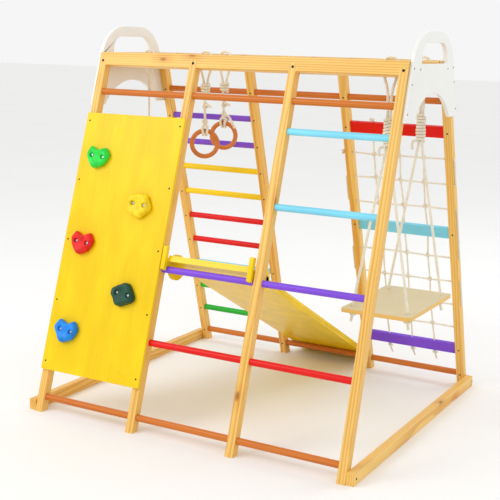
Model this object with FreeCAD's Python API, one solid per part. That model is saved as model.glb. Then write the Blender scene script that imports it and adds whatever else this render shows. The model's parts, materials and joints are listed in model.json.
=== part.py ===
"""Indoor climbing frame with monkey bars: one STEP file per sub-part, in millimetres.

The frame stands along X, with its climbing front towards -Y and its ladders and net towards +Y.
It is modelled about its own middle (x = 0 between the second and third posts, y = 0 under the
ridge, z = 0 on the floor), and every part is moved by one vector at the end, so that the origin
is at the middle of the footprint of the whole object, swing and slide included.

Front and rear sides lean towards each other. A side is drawn in its own flat frame (x, d, a):
x along the frame, d the depth inwards from the outer face, a the distance up the outer face.
"""
import FreeCAD
import Part
import math
import os

V = FreeCAD.Vector

# ---------------------------------------------------------------- driving dimensions
bay = 420.0                 # post to post, centre to centre
foot_y = 621.0              # middle of the frame to the outer face of a foot, on the floor
lean_deg = 16.88            # lean of both sides from the vertical
ridge_z = 1354.0            # top of the beams and of the monkey bars
post_w = 32.0               # post, along X
post_t = 35.0               # post, through its depth
edge_r = 3.0                # rounding along posts and beams
beam_h = 50.0               # beam, up its outer face
bolt_below_top = 33.5       # beam's top front edge down to the post bolt
dowel_d = 25.0              # every round rung and rail
dowel_in = 22.0             # how far a rung goes into a post
ladder_pitch = 115.0        # height from rung to rung on the rear ladder
bottom_z = 51.0             # height of the lowest rail
rung_steps = 10             # ladder steps from the bottom rail to the upper rail
front_every = 261.0         # height from rung to rung on the front side

bar_w = 32.0                # monkey bar, along X
bar_h = 30.0
bar_pitch = 160.0
bar_count = 8
bar_edge_r = 5.0
pin_d = 8.0                 # wooden pin between a beam and a bar
pin_l = 40.0
cross_h = 58.0              # end cross piece
end_bolt_reach = 28.0       # past the beam, into an end cross piece
mid_bolt_reach = 8.0        # past the beam, at the two middle posts
barrel_nut = (9.0, 20.0)    # half its length, and its depth in the cross piece
cap_nut_t = 9.0

runner_w = 30.0
runner_h = 42.0
runner_short = (6.0, 21.0)  # a runner's front and rear ends, short of the outer faces of the feet

panel_t = 15.0
panel_top_z = 1458.0
panel_foot_z = 1147.0
panel_inset = 11.0          # panel's edge behind the post's outer face
panel_corner_r = 150.0
panel_leg_w = 80.0
panel_arch_z = 1241.0
window_z = (1344.0, 1417.0)
window_half = 130.0
window_slope = 0.2
window_r = 52.0
panel_screw_z = (1176.0, 1275.0, 1329.0)
panel_cross_screw = (140.0, 1325.0)     # on the end cross piece: out along Y, and height
cross_screw = (90.0, 1349.5)            # in the cross piece itself, seen through the window

board_t = 12.0              # climbing board
board_low = 162.0           # up the front face
board_l = 1005.0
board_screw_in = 32.0
board_screw_rows = 5

hold_h = 30.0
hold_bolt_gap = 50.0
hold_bolt_off = (5.0, 5.0)              # the pair beside the hold's middle, and one above the other
hold_well = 0.72                        # height of a bolt's seat, as a share of the hold
hold_bolt_head_t = 5.0
hold_bolt_past = 5.0                    # behind the board
flange_nut = (9.0, 1.5, 4.5)            # flange radius and thickness, barrel radius
hold_columns = (78.0, 306.0)            # from the first post's middle
hold_rows = (318.0, 487.0, 657.0, 824.0, 991.0)

screw_head_r = 3.6
screw_head_t = 1.6
screw_proud = 0.4
screw_r = 1.75
screw_l = 25.0
bolt_r = 3.0
bolt_head_r = 5.0
bolt_head_t = 3.0
nut_r = 5.0

rope_d = 8.0                # net and climbing rope
hang_d = 11.0               # ropes of the swing and the rings
rope_gap = 0.4              # from a rope to what it passes on another piece
net_board_h = 46.0
net_board_t = 18.0
net_pitch = 102.0
net_low_z = 164.5           # middle of the lowest board
net_blue_row = 5            # rows above the lowest board
net_rows = 9
net_columns = (0.26, 0.505, 0.74)       # shares of the bay
net_knot_r = 11.0

slide_half = 172.0          # middle of the slide to the outer face of a rail
slide_bed_t = 9.0
slide_rail_w = 15.0
slide_rail_h = 16.0
slide_over_dowel = 28.0     # dowel's middle to the bed's underside
slide_rest_gap = 0.5        # bed's underside to the rear rail that carries it
slide_floor_gap = 1.0       # bed's lower end to the floor
slide_bed_from = 27.0
slide_bar_depth = 45.0
slide_bar_h = 22.0
hook_t = 18.0
hook_gap = 0.3              # hook's seat to the dowel
hook_lobe_r = 48.0
hook_lobe = (62.0, 28.0)    # middle of the rear lobe, along and above the slide
hook_jaw_t = 18.0
hook_jaw = (-2.0, 85.0)     # the front jaw's ends, up the front face from the dowel
hook_bridge_h = 42.0
hook_bridge = (4.0, 40.0, 24.0)         # front, top rear and low rear corners, along Y
hook_jaw_r = 4.0
slide_screw_s = (2.0, 18.0, 60.0, 92.0)
slide_screw_in = 12.0
slide_rail_short = 30.0     # rails' end to the bed's end

seat_x = 265.0
seat_y = 440.0
seat_t = 15.0
seat_top_z = 473.0
seat_corner_r = 14.0
seat_hole = (105.0, 170.0)  # hole places from the middle of the seat
seat_hole_r = 6.5
seat_knot_r = 11.0
seat_knot_drop = 11.5       # its middle below the seat
seat_rope = (8.0, 6.0)      # the rope's end below the seat, and its bend above it
swing_rope_y = 160.0
swing_bar = 7               # which monkey bar carries the swing
loop_clear = 1.1            # a rope loop to the rounded corners of its bar
strand_clear = 0.6          # between the two strands of a doubled rope
loop_shoulder = 34.0        # where the loop narrows, below the bar's middle
merge_z = 1248.0            # where the two strands of a loop meet
swing_coil_z = (1045.0, 1160.0)
coil_r = 20.0

ring_bar = 2
ring_r = 50.0               # middle of the ring's section
ring_section_r = 9.0
ring_places = {"front": (-80.0, 1008.0, 32.0), "rear": (63.0, 1031.0, 14.0)}   # y, z, turn
ring_coil_z = (1200.0, 1250.0)
ring_knot_z = 1156.0
ring_knot_r = 14.0
ring_rope_bend = 40.0       # below the knot
hitch_step_deg = 9.0
hitch_gap = 0.8             # hitch to ring, which tilts in it

climb_bar = 0
climb_end_z = 400.0
climb_top_knot_z = 1193.0
climb_knot_z = (950.0, 740.0, 530.0)
climb_bend = 60.0           # below the top knot
knot_r = 13.0

# ---------------------------------------------------------------- worked out from them
lean = math.radians(lean_deg)
post_x = [(i - 1.5) * bay for i in range(4)]
half_length = post_x[3] + post_w / 2
bar_x = [(i - (bar_count - 1) / 2) * bar_pitch for i in range(bar_count)]
bar_mid_z = ridge_z - bar_h / 2
beam_top_a = ridge_z / math.cos(lean)
beam_low_a = beam_top_a - beam_h
bolt_a = beam_top_a - bolt_below_top
upper_z = bottom_z + rung_steps * ladder_pitch
rope_r = rope_d / 2
bar_reach = math.hypot(bar_w / 2 - bar_edge_r, bar_h / 2 - bar_edge_r) + bar_edge_r
dowel_r = dowel_d / 2
runner_out = half_length + runner_w


def plane_y(d, z):
    """y on the front side's plane at depth d and height z; the rear side's is the negative."""
    return -foot_y + d / math.cos(lean) + z * math.tan(lean)


def up_face(z, d):
    """Distance up the outer face for a height z at depth d."""
    return (z + d * math.sin(lean)) / math.cos(lean)


mid_d = post_t / 2
slide_pivot = (plane_y(mid_d, bottom_z + 2 * front_every), bottom_z + 2 * front_every)
slide_stop = (-plane_y(mid_d, bottom_z), bottom_z)
slide_run = (slide_stop[0] - slide_pivot[0], slide_pivot[1] - slide_stop[1])
slide_rise = slide_over_dowel - dowel_r - slide_rest_gap
slide_tilt = math.atan2(slide_run[1], slide_run[0]) + math.asin(slide_rise / math.hypot(*slide_run))
slide_l = ((slide_pivot[1] - slide_floor_gap
            + (slide_over_dowel + slide_bed_t) * math.cos(slide_tilt)) / math.sin(slide_tilt))
slide_end_y = (slide_pivot[0] + slide_l * math.cos(slide_tilt)
               + (slide_over_dowel + slide_bed_t) * math.sin(slide_tilt))
seat_edge = bar_x[swing_bar] + seat_x / 2
footprint_mid = V((max(runner_out, seat_edge) - runner_out) / 2, (slide_end_y - foot_y) / 2, 0)

parts = {}
screws = []                 # every wood screw of the frame, gathered into one node
nuts = []


# ---------------------------------------------------------------- small helpers
def keep(name, *shapes):
    """Names a sub-part; several solids in one node stay separate solids."""
    parts[name] = list(shapes)


def box(x, y, z):
    """A box from three (low, high) pairs."""
    size = [b - a for a, b in (x, y, z)]
    return Part.makeBox(*size, V(x[0], y[0], z[0]))


def rod(r, start, end):
    """A round bar between two points."""
    axis = V(*end) - V(*start)
    return Part.makeCylinder(r, axis.Length, V(*start), axis)


def rounded(x, y, z, r, axis):
    """A box whose four edges along one axis are rounded."""
    shape = box(x, y, z)
    along = {"x": V(1, 0, 0), "y": V(0, 1, 0), "z": V(0, 0, 1)}[axis]
    edges = [e for e in shape.Edges if abs(e.tangentAt(e.FirstParameter).dot(along)) > 0.999]
    return shape.makeFillet(r, edges)


def on_side(shape, side):
    """Takes a shape from the flat frame (x, d, a) of a side to its place in the object."""
    placed = shape.copy()
    placed.rotate(V(0, 0, 0), V(1, 0, 0), -lean_deg)
    placed.translate(V(0, -foot_y, 0))
    if side == "rear":
        placed = placed.mirror(V(0, 0, 0), V(0, 1, 0))
    return placed


def above_floor(shape):
    """The part of a shape above the floor."""
    room = 4 * foot_y
    return shape.common(box((-room, room), (-room, room), (0, room)))


def cut_all(shape, cutters):
    """A shape with a list of cutters taken out of it."""
    return shape.cut(Part.makeCompound(cutters)) if cutters else shape


def screw(head, direction, length=screw_l, proud=screw_proud):
    """A countersunk wood screw: head is the point on the surface, direction points inwards."""
    way = V(*direction).normalize()
    top = V(*head) - way * proud
    shank = Part.makeCylinder(screw_r, length, V(*head), way)
    return Part.makeCylinder(screw_head_r, screw_head_t + proud, top, way).fuse(shank)


def outline(points, fillets=None):
    """A closed wire of straight runs through points; fillets maps a corner's number to its radius."""
    fillets = fillets or {}
    count = len(points)
    edges, starts, ends = [], {}, {}
    for i, point in enumerate(points):
        before, after = points[i - 1], points[(i + 1) % count]
        starts[i] = ends[i] = point
        if i in fillets:
            a, b = (before - point).normalize(), (after - point).normalize()
            half = a.getAngle(b) / 2
            reach = fillets[i] / math.tan(half)
            ends[i], starts[i] = point + a * reach, point + b * reach
            middle = point + (a + b).normalize() * (fillets[i] / math.sin(half) - fillets[i])
            edges.append((i, Part.Arc(ends[i], middle, starts[i]).toShape()))
    for i in range(count):
        a, b = starts[i], ends[(i + 1) % count]
        if (a - b).Length > 1e-6:
            edges.append((i + 0.5, Part.LineSegment(a, b).toShape()))
    return Part.Wire([edge for _, edge in sorted(edges, key=lambda pair: pair[0])])


def plate(wire, thickness):
    """A flat closed wire made a plate, pushed along the given vector."""
    return Part.Face(wire).extrude(thickness)


def tube(name, points, diameter):
    """A rope's solid: straight runs joined by tangent arcs as large as the runs allow."""
    points = [V(*p) for p in points]
    radii, edges, here = [], [], points[0]
    for i in range(1, len(points) - 1):
        back, ahead = points[i - 1] - points[i], points[i + 1] - points[i]
        a, b = V(back).normalize(), V(ahead).normalize()
        half_turn = (math.pi - a.getAngle(b)) / 2
        reach = 0.45 * min(back.Length, ahead.Length)
        radius = reach / math.tan(half_turn)
        start, end = points[i] + a * reach, points[i] + b * reach
        bow = radius / math.cos(half_turn) - radius
        edges.append(Part.LineSegment(here, start).toShape())
        edges.append(Part.Arc(start, points[i] + (a + b).normalize() * bow, end).toShape())
        here = end
        radii.append(radius)
    edges.append(Part.LineSegment(here, points[-1]).toShape())
    path = Part.Wire(edges)
    way = (points[1] - points[0]).normalize()
    ring = Part.Wire(Part.makeCircle(diameter / 2, points[0], way))
    solid = path.makePipeShell([ring], True, False, 1)
    ratio = solid.Volume / (math.pi * diameter ** 2 / 4 * path.Length)
    print(f"{name}: rope {path.Length:.0f} mm, radii",
          [round(r) for r in radii], f"volume ratio {ratio:.4f}")
    return solid


def egg(r, centre, stretch=1.0):
    """A rounded knot, stretched up and down."""
    ball = Part.makeSphere(r)
    matrix = FreeCAD.Matrix()
    matrix.scale(1, 1, stretch)
    if stretch != 1.0:
        ball = ball.transformGeometry(matrix)
    ball.translate(V(*centre))
    return ball


# ---------------------------------------------------------------- where things are fixed
front_rungs = {                     # name: (height, first post, last post)
    "lower": (bottom_z, 0, 3),
    "red": (bottom_z + front_every, 1, 3),
    "purple": (bottom_z + 2 * front_every, 1, 3),
    "blue_low": (bottom_z + 3 * front_every, 2, 3),
    "blue_high": (bottom_z + 4 * front_every, 2, 3),
    "upper": (upper_z, 0, 3),
}
ladder_colours = ["green", "green", "light_blue", "red", "red", "yellow", "yellow",
                  "purple", "purple"]
rear_rungs = {"lower": (bottom_z, 0, 3), "upper": (upper_z, 0, 3)}
for step, colour in enumerate(ladder_colours, 1):
    rear_rungs[f"ladder_{step}"] = (bottom_z + step * ladder_pitch, 0, 1)


def rung(side, height, first, last):
    """A round rung between two posts, in the side's flat frame, and its places on the posts."""
    a = up_face(height, mid_d)
    ends = (post_x[first] + post_w / 2 - dowel_in, post_x[last] - post_w / 2 + dowel_in)
    fixed = [(x, a) for x in post_x[first:last + 1]]
    return rod(dowel_r, (ends[0], mid_d, a), (ends[1], mid_d, a)), fixed


def inner_screw(x, a):
    """A screw from a post's inner face, through the end of what is let into it."""
    return screw((x, post_t, a), (0, -1, 0))


def net_board_a(row):
    """Distance up the rear face of a row of the net."""
    return up_face(net_low_z, mid_d) + row * net_pitch / math.cos(lean)


# ---------------------------------------------------------------- posts, rungs and rails
def make_sides():
    """Posts, round rungs, net boards and the beams, with every hole that they share."""
    holes = {"front": [], "rear": []}
    bars = {"front": {}, "rear": {}}
    for side, rungs in (("front", front_rungs), ("rear", rear_rungs)):
        for name, (height, first, last) in rungs.items():
            bar, fixed = rung(side, height, first, last)
            fixings = [inner_screw(x, a) for x, a in fixed]
            holes[side] += [bar] + fixings
            bars[side][name] = on_side(cut_all(bar, fixings), side)
            screws.extend(on_side(s, side) for s in fixings)

    net_x = (post_x[2] + post_w / 2 - dowel_in, post_x[3] - post_w / 2 + dowel_in)
    column_x = [post_x[2] + share * bay for share in net_columns]
    spare_x = post_x[2] + 0.11 * bay
    for colour, row in (("purple", 0), ("light_blue", net_blue_row), ("red", net_rows)):
        a = net_board_a(row)
        board = rounded(net_x, (mid_d - net_board_t / 2, mid_d + net_board_t / 2),
                        (a - net_board_h / 2, a + net_board_h / 2), edge_r, "x")
        fixings = [inner_screw(x, a) for x in post_x[2:]]
        holes["rear"] += [board] + fixings
        bores = [rod(rope_r + rope_gap, (x, mid_d, a - net_board_h), (x, mid_d, a + net_board_h))
                 for x in column_x + ([spare_x] if colour == "red" else [])]
        keep(f"net_board_{colour}", on_side(cut_all(board, fixings + bores), "rear"))
        screws.extend(on_side(s, "rear") for s in fixings)
    rope_depth = mid_d + rope_d + rope_gap
    for row in range(1, net_rows):
        if row != net_blue_row:
            a = net_board_a(row)
            holes["rear"].append(rod(rope_r + rope_gap, (post_x[2] - post_w, rope_depth, a),
                                     (half_length + post_w, rope_depth, a)))
    keep("upper_rails", bars["front"]["upper"], bars["rear"]["upper"])
    keep("lower_rails", bars["front"]["lower"], bars["rear"]["lower"])
    keep("rung_purple", bars["front"]["purple"])
    keep("rung_red", bars["front"]["red"])
    keep("rungs_light_blue", bars["front"]["blue_low"], bars["front"]["blue_high"])
    for colour in dict.fromkeys(ladder_colours):
        steps = [i for i, c in enumerate(ladder_colours, 1) if c == colour]
        keep(f"ladder_rungs_{colour}", *[bars["rear"][f"ladder_{i}"] for i in steps])
    make_posts(holes)


def tongue(x):
    """The rounded end of a post, let into the outer half of the beam."""
    half = post_w / 2
    block = box((x - half, x + half), (0, mid_d), (beam_low_a, bolt_a))
    return block.fuse(rod(half, (x, 0, bolt_a), (x, mid_d, bolt_a)))


def post_bolt(x):
    """A bolt from the outer face through post and beam; at the ends it reaches a cross piece."""
    length = post_t + (end_bolt_reach if abs(x) > bay else mid_bolt_reach)
    head = rod(bolt_head_r, (x, -bolt_head_t / 2, bolt_a), (x, bolt_head_t / 2, bolt_a))
    return head.fuse(rod(bolt_r, (x, 0, bolt_a), (x, length, bolt_a)))


def post_nut(x):
    """A barrel nut inside an end cross piece, or a round cap nut on the beam's inner face."""
    if abs(x) > bay:
        half, depth = barrel_nut
        return rod(nut_r, (x - half, post_t + depth, bolt_a), (x + half, post_t + depth, bolt_a))
    return rod(nut_r + 1, (x, post_t, bolt_a), (x, post_t + cap_nut_t, bolt_a))


def runner_bolt(x, side):
    """A bolt through a floor runner into the foot of an end post."""
    out = 1 if x > 0 else -1
    y = plane_y(mid_d, runner_h / 2) * (1 if side == "front" else -1)
    face = x + out * (post_w / 2 + runner_w)
    head = rod(bolt_head_r, (face, y, runner_h / 2), (face - out * bolt_head_t, y, runner_h / 2))
    return head.fuse(rod(bolt_r, (face, y, runner_h / 2), (x, y, runner_h / 2)))


def make_posts(holes):
    """Posts and beams, cut for rungs, screws, bolts, ropes and pins."""
    bolts, runner_bolts = [], []
    for side in ("front", "rear"):
        for i, x in enumerate(post_x):
            half = post_w / 2
            shaft = rounded((x - half, x + half), (0, post_t), (-post_t, beam_low_a), edge_r, "z")
            flat = cut_all(shaft.fuse(tongue(x)), holes[side] + [post_bolt(x)])
            flat = flat.removeSplitter()
            post = above_floor(on_side(flat, side))
            ends = i in (0, 3)
            cutters = panel_screws(x) if ends else []
            if side == "front" and i < 2:
                cutters += board_screws()
            if ends:
                runner_bolts.append(runner_bolt(x, side))
                cutters.append(runner_bolts[-1])
            keep(f"{side}_post_{i + 1}", cut_all(post, cutters))
            bolts.append(on_side(post_bolt(x), side))
            nuts.append(cut_all(on_side(post_nut(x), side), [bolts[-1]]))
        beam = rounded((-half_length, half_length), (0, post_t), (beam_low_a, beam_top_a + post_t),
                       edge_r, "x")
        beam = cut_all(beam, [tongue(x) for x in post_x] + [post_bolt(x) for x in post_x])
        top = box((-half_length, half_length), (-foot_y, foot_y), (ridge_z / 2, ridge_z))
        beam = on_side(beam, side).common(top)
        corners = [s for x in (post_x[0], post_x[3]) for s in panel_screws(x)]
        keep(f"{side}_beam", cut_all(beam, corners + pins()))
    keep("frame_bolts", *bolts, *runner_bolts)


# ---------------------------------------------------------------- monkey bars and ends
def between_beams(shape):
    """A shape trimmed to the room between the inner faces of the two beams."""
    low, high = ridge_z - 2 * beam_h, ridge_z
    half_low, half_high = plane_y(post_t, low), plane_y(post_t, high)
    corners = [V(-2 * half_length, y, z) for y, z in
               ((half_low, low), (-half_low, low), (-half_high, high), (half_high, high))]
    return shape.common(plate(outline(corners), V(4 * half_length, 0, 0)))


def pins():
    """Wooden pins along Y, half in a beam and half in a monkey bar."""
    found = []
    for x in bar_x:
        for sign in (-1, 1):
            y = sign * abs(plane_y(post_t, bar_mid_z))
            found.append(rod(pin_d / 2, (x, y - pin_l / 2, bar_mid_z), (x, y + pin_l / 2, bar_mid_z)))
    return found


def make_bars():
    """The monkey bars, their pins and the two end cross pieces."""
    room = (-foot_y / 2, foot_y / 2)
    bars = [between_beams(rounded((x - bar_w / 2, x + bar_w / 2), room,
                                  (ridge_z - bar_h, ridge_z), bar_edge_r, "y")) for x in bar_x]
    keep("monkey_bars", *[cut_all(bar, pins()) for bar in bars])
    keep("bar_pins", *pins())
    crosses = []
    for x in (post_x[0], post_x[3]):
        piece = between_beams(rounded((x - post_w / 2, x + post_w / 2), room,
                                      (ridge_z - cross_h, ridge_z), edge_r, "y"))
        inserts = [on_side(make(x), side) for make in (post_bolt, post_nut)
                   for side in ("front", "rear")]
        crosses.append(cut_all(piece, inserts + panel_screws(x) + cross_screws(x)))
        screws.extend(panel_screws(x) + cross_screws(x))
    keep("end_cross_pieces", *crosses)


def panel_screws(x):
    """Screws through an end panel into the posts and the end cross piece."""
    out = 1 if x > 0 else -1
    face = x + out * (post_w / 2 + panel_t)
    spots = [(plane_y(mid_d, z), z) for z in panel_screw_z] + [(-panel_cross_screw[0],
                                                                panel_cross_screw[1])]
    return [screw((face, sign * y, z), (-out, 0, 0)) for y, z in spots for sign in (1, -1)]


def cross_screws(x):
    """Two screws in the outer face of an end cross piece, above the window's sill."""
    out = 1 if x > 0 else -1
    y, z = cross_screw
    return [screw((x + out * post_w / 2, sign * y, z), (-out, 0, 0)) for sign in (1, -1)]


def make_panels():
    """The white end panels: a handle window at the top and an arch between the legs."""
    def half_at(z):
        return foot_y - z * math.tan(lean) - panel_inset

    for side, x in (("left", post_x[0]), ("right", post_x[3])):
        out = 1 if x > 0 else -1
        inner = x + out * post_w / 2
        corner = [(half_at(panel_foot_z), panel_foot_z), (half_at(panel_top_z), panel_top_z)]
        outer = [V(inner, corner[0][0], corner[0][1]), V(inner, corner[1][0], corner[1][1]),
                 V(inner, -corner[1][0], corner[1][1]), V(inner, -corner[0][0], corner[0][1])]
        shape = plate(outline(outer, {1: panel_corner_r, 2: panel_corner_r}), V(out * panel_t, 0, 0))
        low, high = window_z
        top_half = window_half - window_slope * (high - low)
        window = [V(inner, window_half, low), V(inner, top_half, high),
                  V(inner, -top_half, high), V(inner, -window_half, low)]
        window = outline(window, {0: edge_r * 2, 1: window_r, 2: window_r, 3: edge_r * 2})
        half = half_at(panel_foot_z) - panel_leg_w
        rise = panel_arch_z - panel_foot_z
        arch_r = (half ** 2 + rise ** 2) / (2 * rise)
        arch = rod(arch_r, (inner - panel_t, 0, panel_arch_z - arch_r),
                   (inner + panel_t, 0, panel_arch_z - arch_r))
        shape = shape.cut(plate(window, V(out * panel_t, 0, 0))).cut(arch)
        keep(f"end_panel_{side}", cut_all(shape, panel_screws(x)))


def make_runners():
    """The two floor runners, outside the end posts."""
    runners = []
    for x in (post_x[0], post_x[3]):
        out = 1 if x > 0 else -1
        faces = sorted((x + out * post_w / 2, x + out * (post_w / 2 + runner_w)))
        ends = (runner_short[0] - foot_y, foot_y - runner_short[1])
        beam = rounded(faces, ends, (0, runner_h), edge_r, "y")
        runners.append(cut_all(beam, [runner_bolt(x, side) for side in ("front", "rear")]))
    keep("floor_runners", *runners)


# ---------------------------------------------------------------- climbing board and holds
def board_screws():
    """Screws from the board's face into the first two front posts."""
    pitch = (board_l - 2 * board_screw_in) / (board_screw_rows - 1)
    rows = [board_low + board_screw_in + i * pitch for i in range(board_screw_rows)]
    return [on_side(screw((x, -board_t, a), (0, 1, 0)), "front") for x in post_x[:2] for a in rows]


def heart(width, height):
    """A two-peaked hold: points about its middle, x right and a up."""
    shape = [(-0.30, 0.47), (-0.47, 0.15), (-0.42, -0.08), (-0.14, -0.50), (0.30, -0.32),
             (0.50, 0.12), (0.30, 0.44), (0.02, 0.26)]
    return [(x * width, a * height) for x, a in shape]


def lobed(width, height, lobes, depth, turn):
    """A rounded hold with soft lobes, as points on a wavy circle."""
    count = 4 * lobes
    found = []
    for i in range(count):
        angle = 2 * math.pi * i / count
        reach = 0.5 * (1 - depth * (0.5 - 0.5 * math.cos(lobes * angle + turn)))
        found.append((width * reach * math.cos(angle), height * reach * math.sin(angle)))
    return found


holds = {                           # name: (column, row, outline points)
    "hold_green": (0, 4, heart(104, 88)),
    "hold_yellow": (1, 3, lobed(106, 96, 5, 0.16, 0.9)),
    "hold_red": (0, 2, heart(104, 92)),
    "hold_dark_green": (1, 1, lobed(106, 92, 4, 0.2, 1.2)),
    "hold_blue": (0, 0, heart(106, 92)),
}


def hold_bolt_places(column, row):
    """Where the two bolts of a hold go, in the side's flat frame."""
    x, a = post_x[0] + hold_columns[column], hold_rows[row]
    aside, above = hold_bolt_off
    return [(x + aside - hold_bolt_gap / 2, a + above), (x + aside + hold_bolt_gap / 2, a)]


def hold_bolt(x, a):
    """A socket bolt sunk in the hold, through the board."""
    top = -board_t - hold_h * hold_well
    seat = top + hold_bolt_head_t
    head = rod(bolt_head_r, (x, top, a), (x, seat, a))
    return head.fuse(rod(bolt_r, (x, seat, a), (x, hold_bolt_past, a)))


def hold_nut(x, a):
    """A flanged nut behind the board."""
    flange_r, flange_t, barrel_r = flange_nut
    flange = rod(flange_r, (x, 0, a), (x, flange_t, a))
    return flange.fuse(rod(barrel_r, (x, -board_t / 2, a), (x, 0, a)))


def make_board():
    """The climbing board with its screws, holds, bolts and nuts."""
    x = (post_x[0] - post_w / 2, post_x[1] + post_w / 2)
    board = rounded(x, (-board_t, 0), (board_low, board_low + board_l), edge_r, "y")
    spots = [spot for column, row, _ in holds.values() for spot in hold_bolt_places(column, row)]
    bolts = [hold_bolt(*spot) for spot in spots]
    back = [hold_nut(*spot).cut(hold_bolt(*spot)) for spot in spots]
    board = cut_all(board, bolts + back)
    keep("climbing_board", cut_all(on_side(board, "front"), board_screws()))
    screws.extend(board_screws())
    keep("hold_bolts", *[on_side(b, "front") for b in bolts])
    nuts.extend(on_side(n, "front") for n in back)
    for name, (column, row, points) in holds.items():
        middle = (post_x[0] + hold_columns[column], hold_rows[row])
        rings = []
        for share, d in ((1.0, -board_t), (0.94, -board_t - 0.55 * hold_h), (0.66, -board_t - hold_h)):
            curve = Part.BSplineCurve()
            curve.interpolate([V(middle[0] + px * share, d, middle[1] + pa * share)
                               for px, pa in points], PeriodicFlag=True)
            rings.append(Part.Wire(curve.toShape()))
        body = Part.makeLoft(rings, True, False)
        seat = -board_t - hold_h * hold_well
        clear = [rod(bolt_head_r, (bx, -board_t - 2 * hold_h, ba), (bx, seat, ba))
                 for bx, ba in hold_bolt_places(column, row)]
        body = cut_all(body, clear + [hold_bolt(*spot) for spot in hold_bolt_places(column, row)])
        keep(name, on_side(body, "front"))


# ---------------------------------------------------------------- slide
def on_slide(shape):
    """Takes a shape from the slide's flat frame (x, s down the slide, n above it) to its place."""
    placed = shape.copy()
    placed.rotate(V(0, 0, 0), V(1, 0, 0), -math.degrees(slide_tilt))
    placed.translate(V(0, *slide_pivot))
    return placed


def slide_hook(sign):
    """A hook plate: a jaw in front of the dowel, a seat over it and a round lobe behind it."""
    faces = sorted((sign * slide_half, sign * (slide_half + hook_t)))
    lobe = on_slide(rod(hook_lobe_r, (faces[0], *hook_lobe), (faces[1], *hook_lobe)))
    seat_r = dowel_r + hook_gap
    jaw = box(faces, (-seat_r - hook_jaw_t, -seat_r), hook_jaw)
    corners = [e for e in jaw.Edges if abs(e.tangentAt(e.FirstParameter).x) > 0.999]
    jaw = jaw.makeFillet(hook_jaw_r, corners)
    jaw.rotate(V(0, 0, 0), V(1, 0, 0), -lean_deg)
    jaw.translate(V(0, *slide_pivot))
    y, z = slide_pivot
    front, top_rear, low_rear = hook_bridge
    bridge = [V(faces[0], y - seat_r - front, z), V(faces[0], y - front, z + hook_bridge_h),
              V(faces[0], y + top_rear, z + hook_bridge_h - front), V(faces[0], y + low_rear, z)]
    body = lobe.fuse([jaw, plate(outline(bridge), V(hook_t, 0, 0))])
    seat = rod(seat_r, (faces[0], y, z), (faces[1], y, z))
    return body.cut(seat).removeSplitter()


def slide_screws():
    """Screws through each hook plate into the ends of the cross bar and the rail beside it."""
    n = slide_over_dowel + slide_bar_h / 2
    found = []
    for sign in (-1, 1):
        for s in slide_screw_s:
            up = n if s < slide_bed_from else slide_over_dowel + slide_bed_t + slide_rail_h / 2
            head = (sign * (slide_half + hook_t), s, up)
            found.append(on_slide(screw(head, (-sign, 0, 0), length=hook_t + slide_screw_in)))
    return found


def make_slide():
    """The slide: bed, two rails, cross bar at the top and two hook plates."""
    n = slide_over_dowel
    reach = slide_l + 2 * slide_bed_t
    fixings = slide_screws()
    bed = on_slide(box((-slide_half, slide_half), (slide_bed_from, reach), (n, n + slide_bed_t)))
    rails = []
    for sign in (-1, 1):
        faces = sorted((sign * slide_half, sign * (slide_half - slide_rail_w)))
        rail = rounded(faces, (slide_bed_from, slide_l - slide_rail_short),
                       (n + slide_bed_t, n + slide_bed_t + slide_rail_h), edge_r, "y")
        rails.append(cut_all(on_slide(rail), fixings))
    low = box((-bay, bay), (-2 * foot_y, 2 * foot_y), (-2 * foot_y, slide_floor_gap))
    bar = box((-slide_half, slide_half), (slide_bed_from - slide_bar_depth, slide_bed_from),
              (n, n + slide_bar_h))
    keep("slide_bed", bed.cut(low))
    keep("slide_rails", *rails)
    keep("slide_cross_bar", cut_all(on_slide(bar), fixings))
    keep("slide_hooks", *[cut_all(slide_hook(sign), fixings) for sign in (-1, 1)])
    keep("slide_screws", *fixings)


# ---------------------------------------------------------------- climbing net
def make_net():
    """Rows and columns of rope, the turns outside the posts, and a knot at each crossing."""
    depth = mid_d + rope_d + rope_gap
    rows = [row for row in range(1, net_rows) if row != net_blue_row]
    left, right = post_x[2] - post_w / 2, half_length
    ropes, knots = [], []
    for row in rows:
        a = net_board_a(row)
        ropes.append(rod(rope_r, (left, depth, a), (right, depth, a)))
    for i, (upper, lower) in enumerate(zip(rows[:0:-1], rows[-2::-1])):
        face, out = ((right, 1), (left, -1))[i % 2]
        high, low = net_board_a(upper), net_board_a(lower)
        bend = rope_r + 1.5
        outside = face + out * bend
        path = outline_open([V(face, depth, high), V(outside, depth, high),
                             V(outside, depth, low), V(face, depth, low)], bend)
        ring = Part.Wire(Part.makeCircle(rope_r, V(face, depth, high), V(out, 0, 0)))
        ropes.append(path.makePipeShell([ring], True, False, 1))
    for share in net_columns:
        x = post_x[2] + share * bay
        top = net_board_a(net_rows) + net_board_h / 2 + rope_d
        low = net_board_a(0) - net_board_h / 2 - rope_d
        ropes.append(rod(rope_r, (x, mid_d, low), (x, mid_d, top)))
        knots += [egg(net_knot_r, (x, mid_d + rope_r, net_board_a(row)), 0.9) for row in rows]
        knots.append(egg(net_knot_r, (x, mid_d, low - net_knot_r / 2), 1.2))
        knots.append(egg(net_knot_r * 0.9, (x, mid_d, top + net_knot_r * 0.2), 0.8))
    first, last = net_board_a(rows[-1]), net_board_a(rows[0])
    for a in (first, last):
        knots.append(egg(net_knot_r * 0.9, (left - net_knot_r, depth, a)))
    keep("net_ropes", *[on_side(rope, "rear") for rope in ropes])
    keep("net_knots", *[on_side(knot, "rear") for knot in knots])


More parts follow.
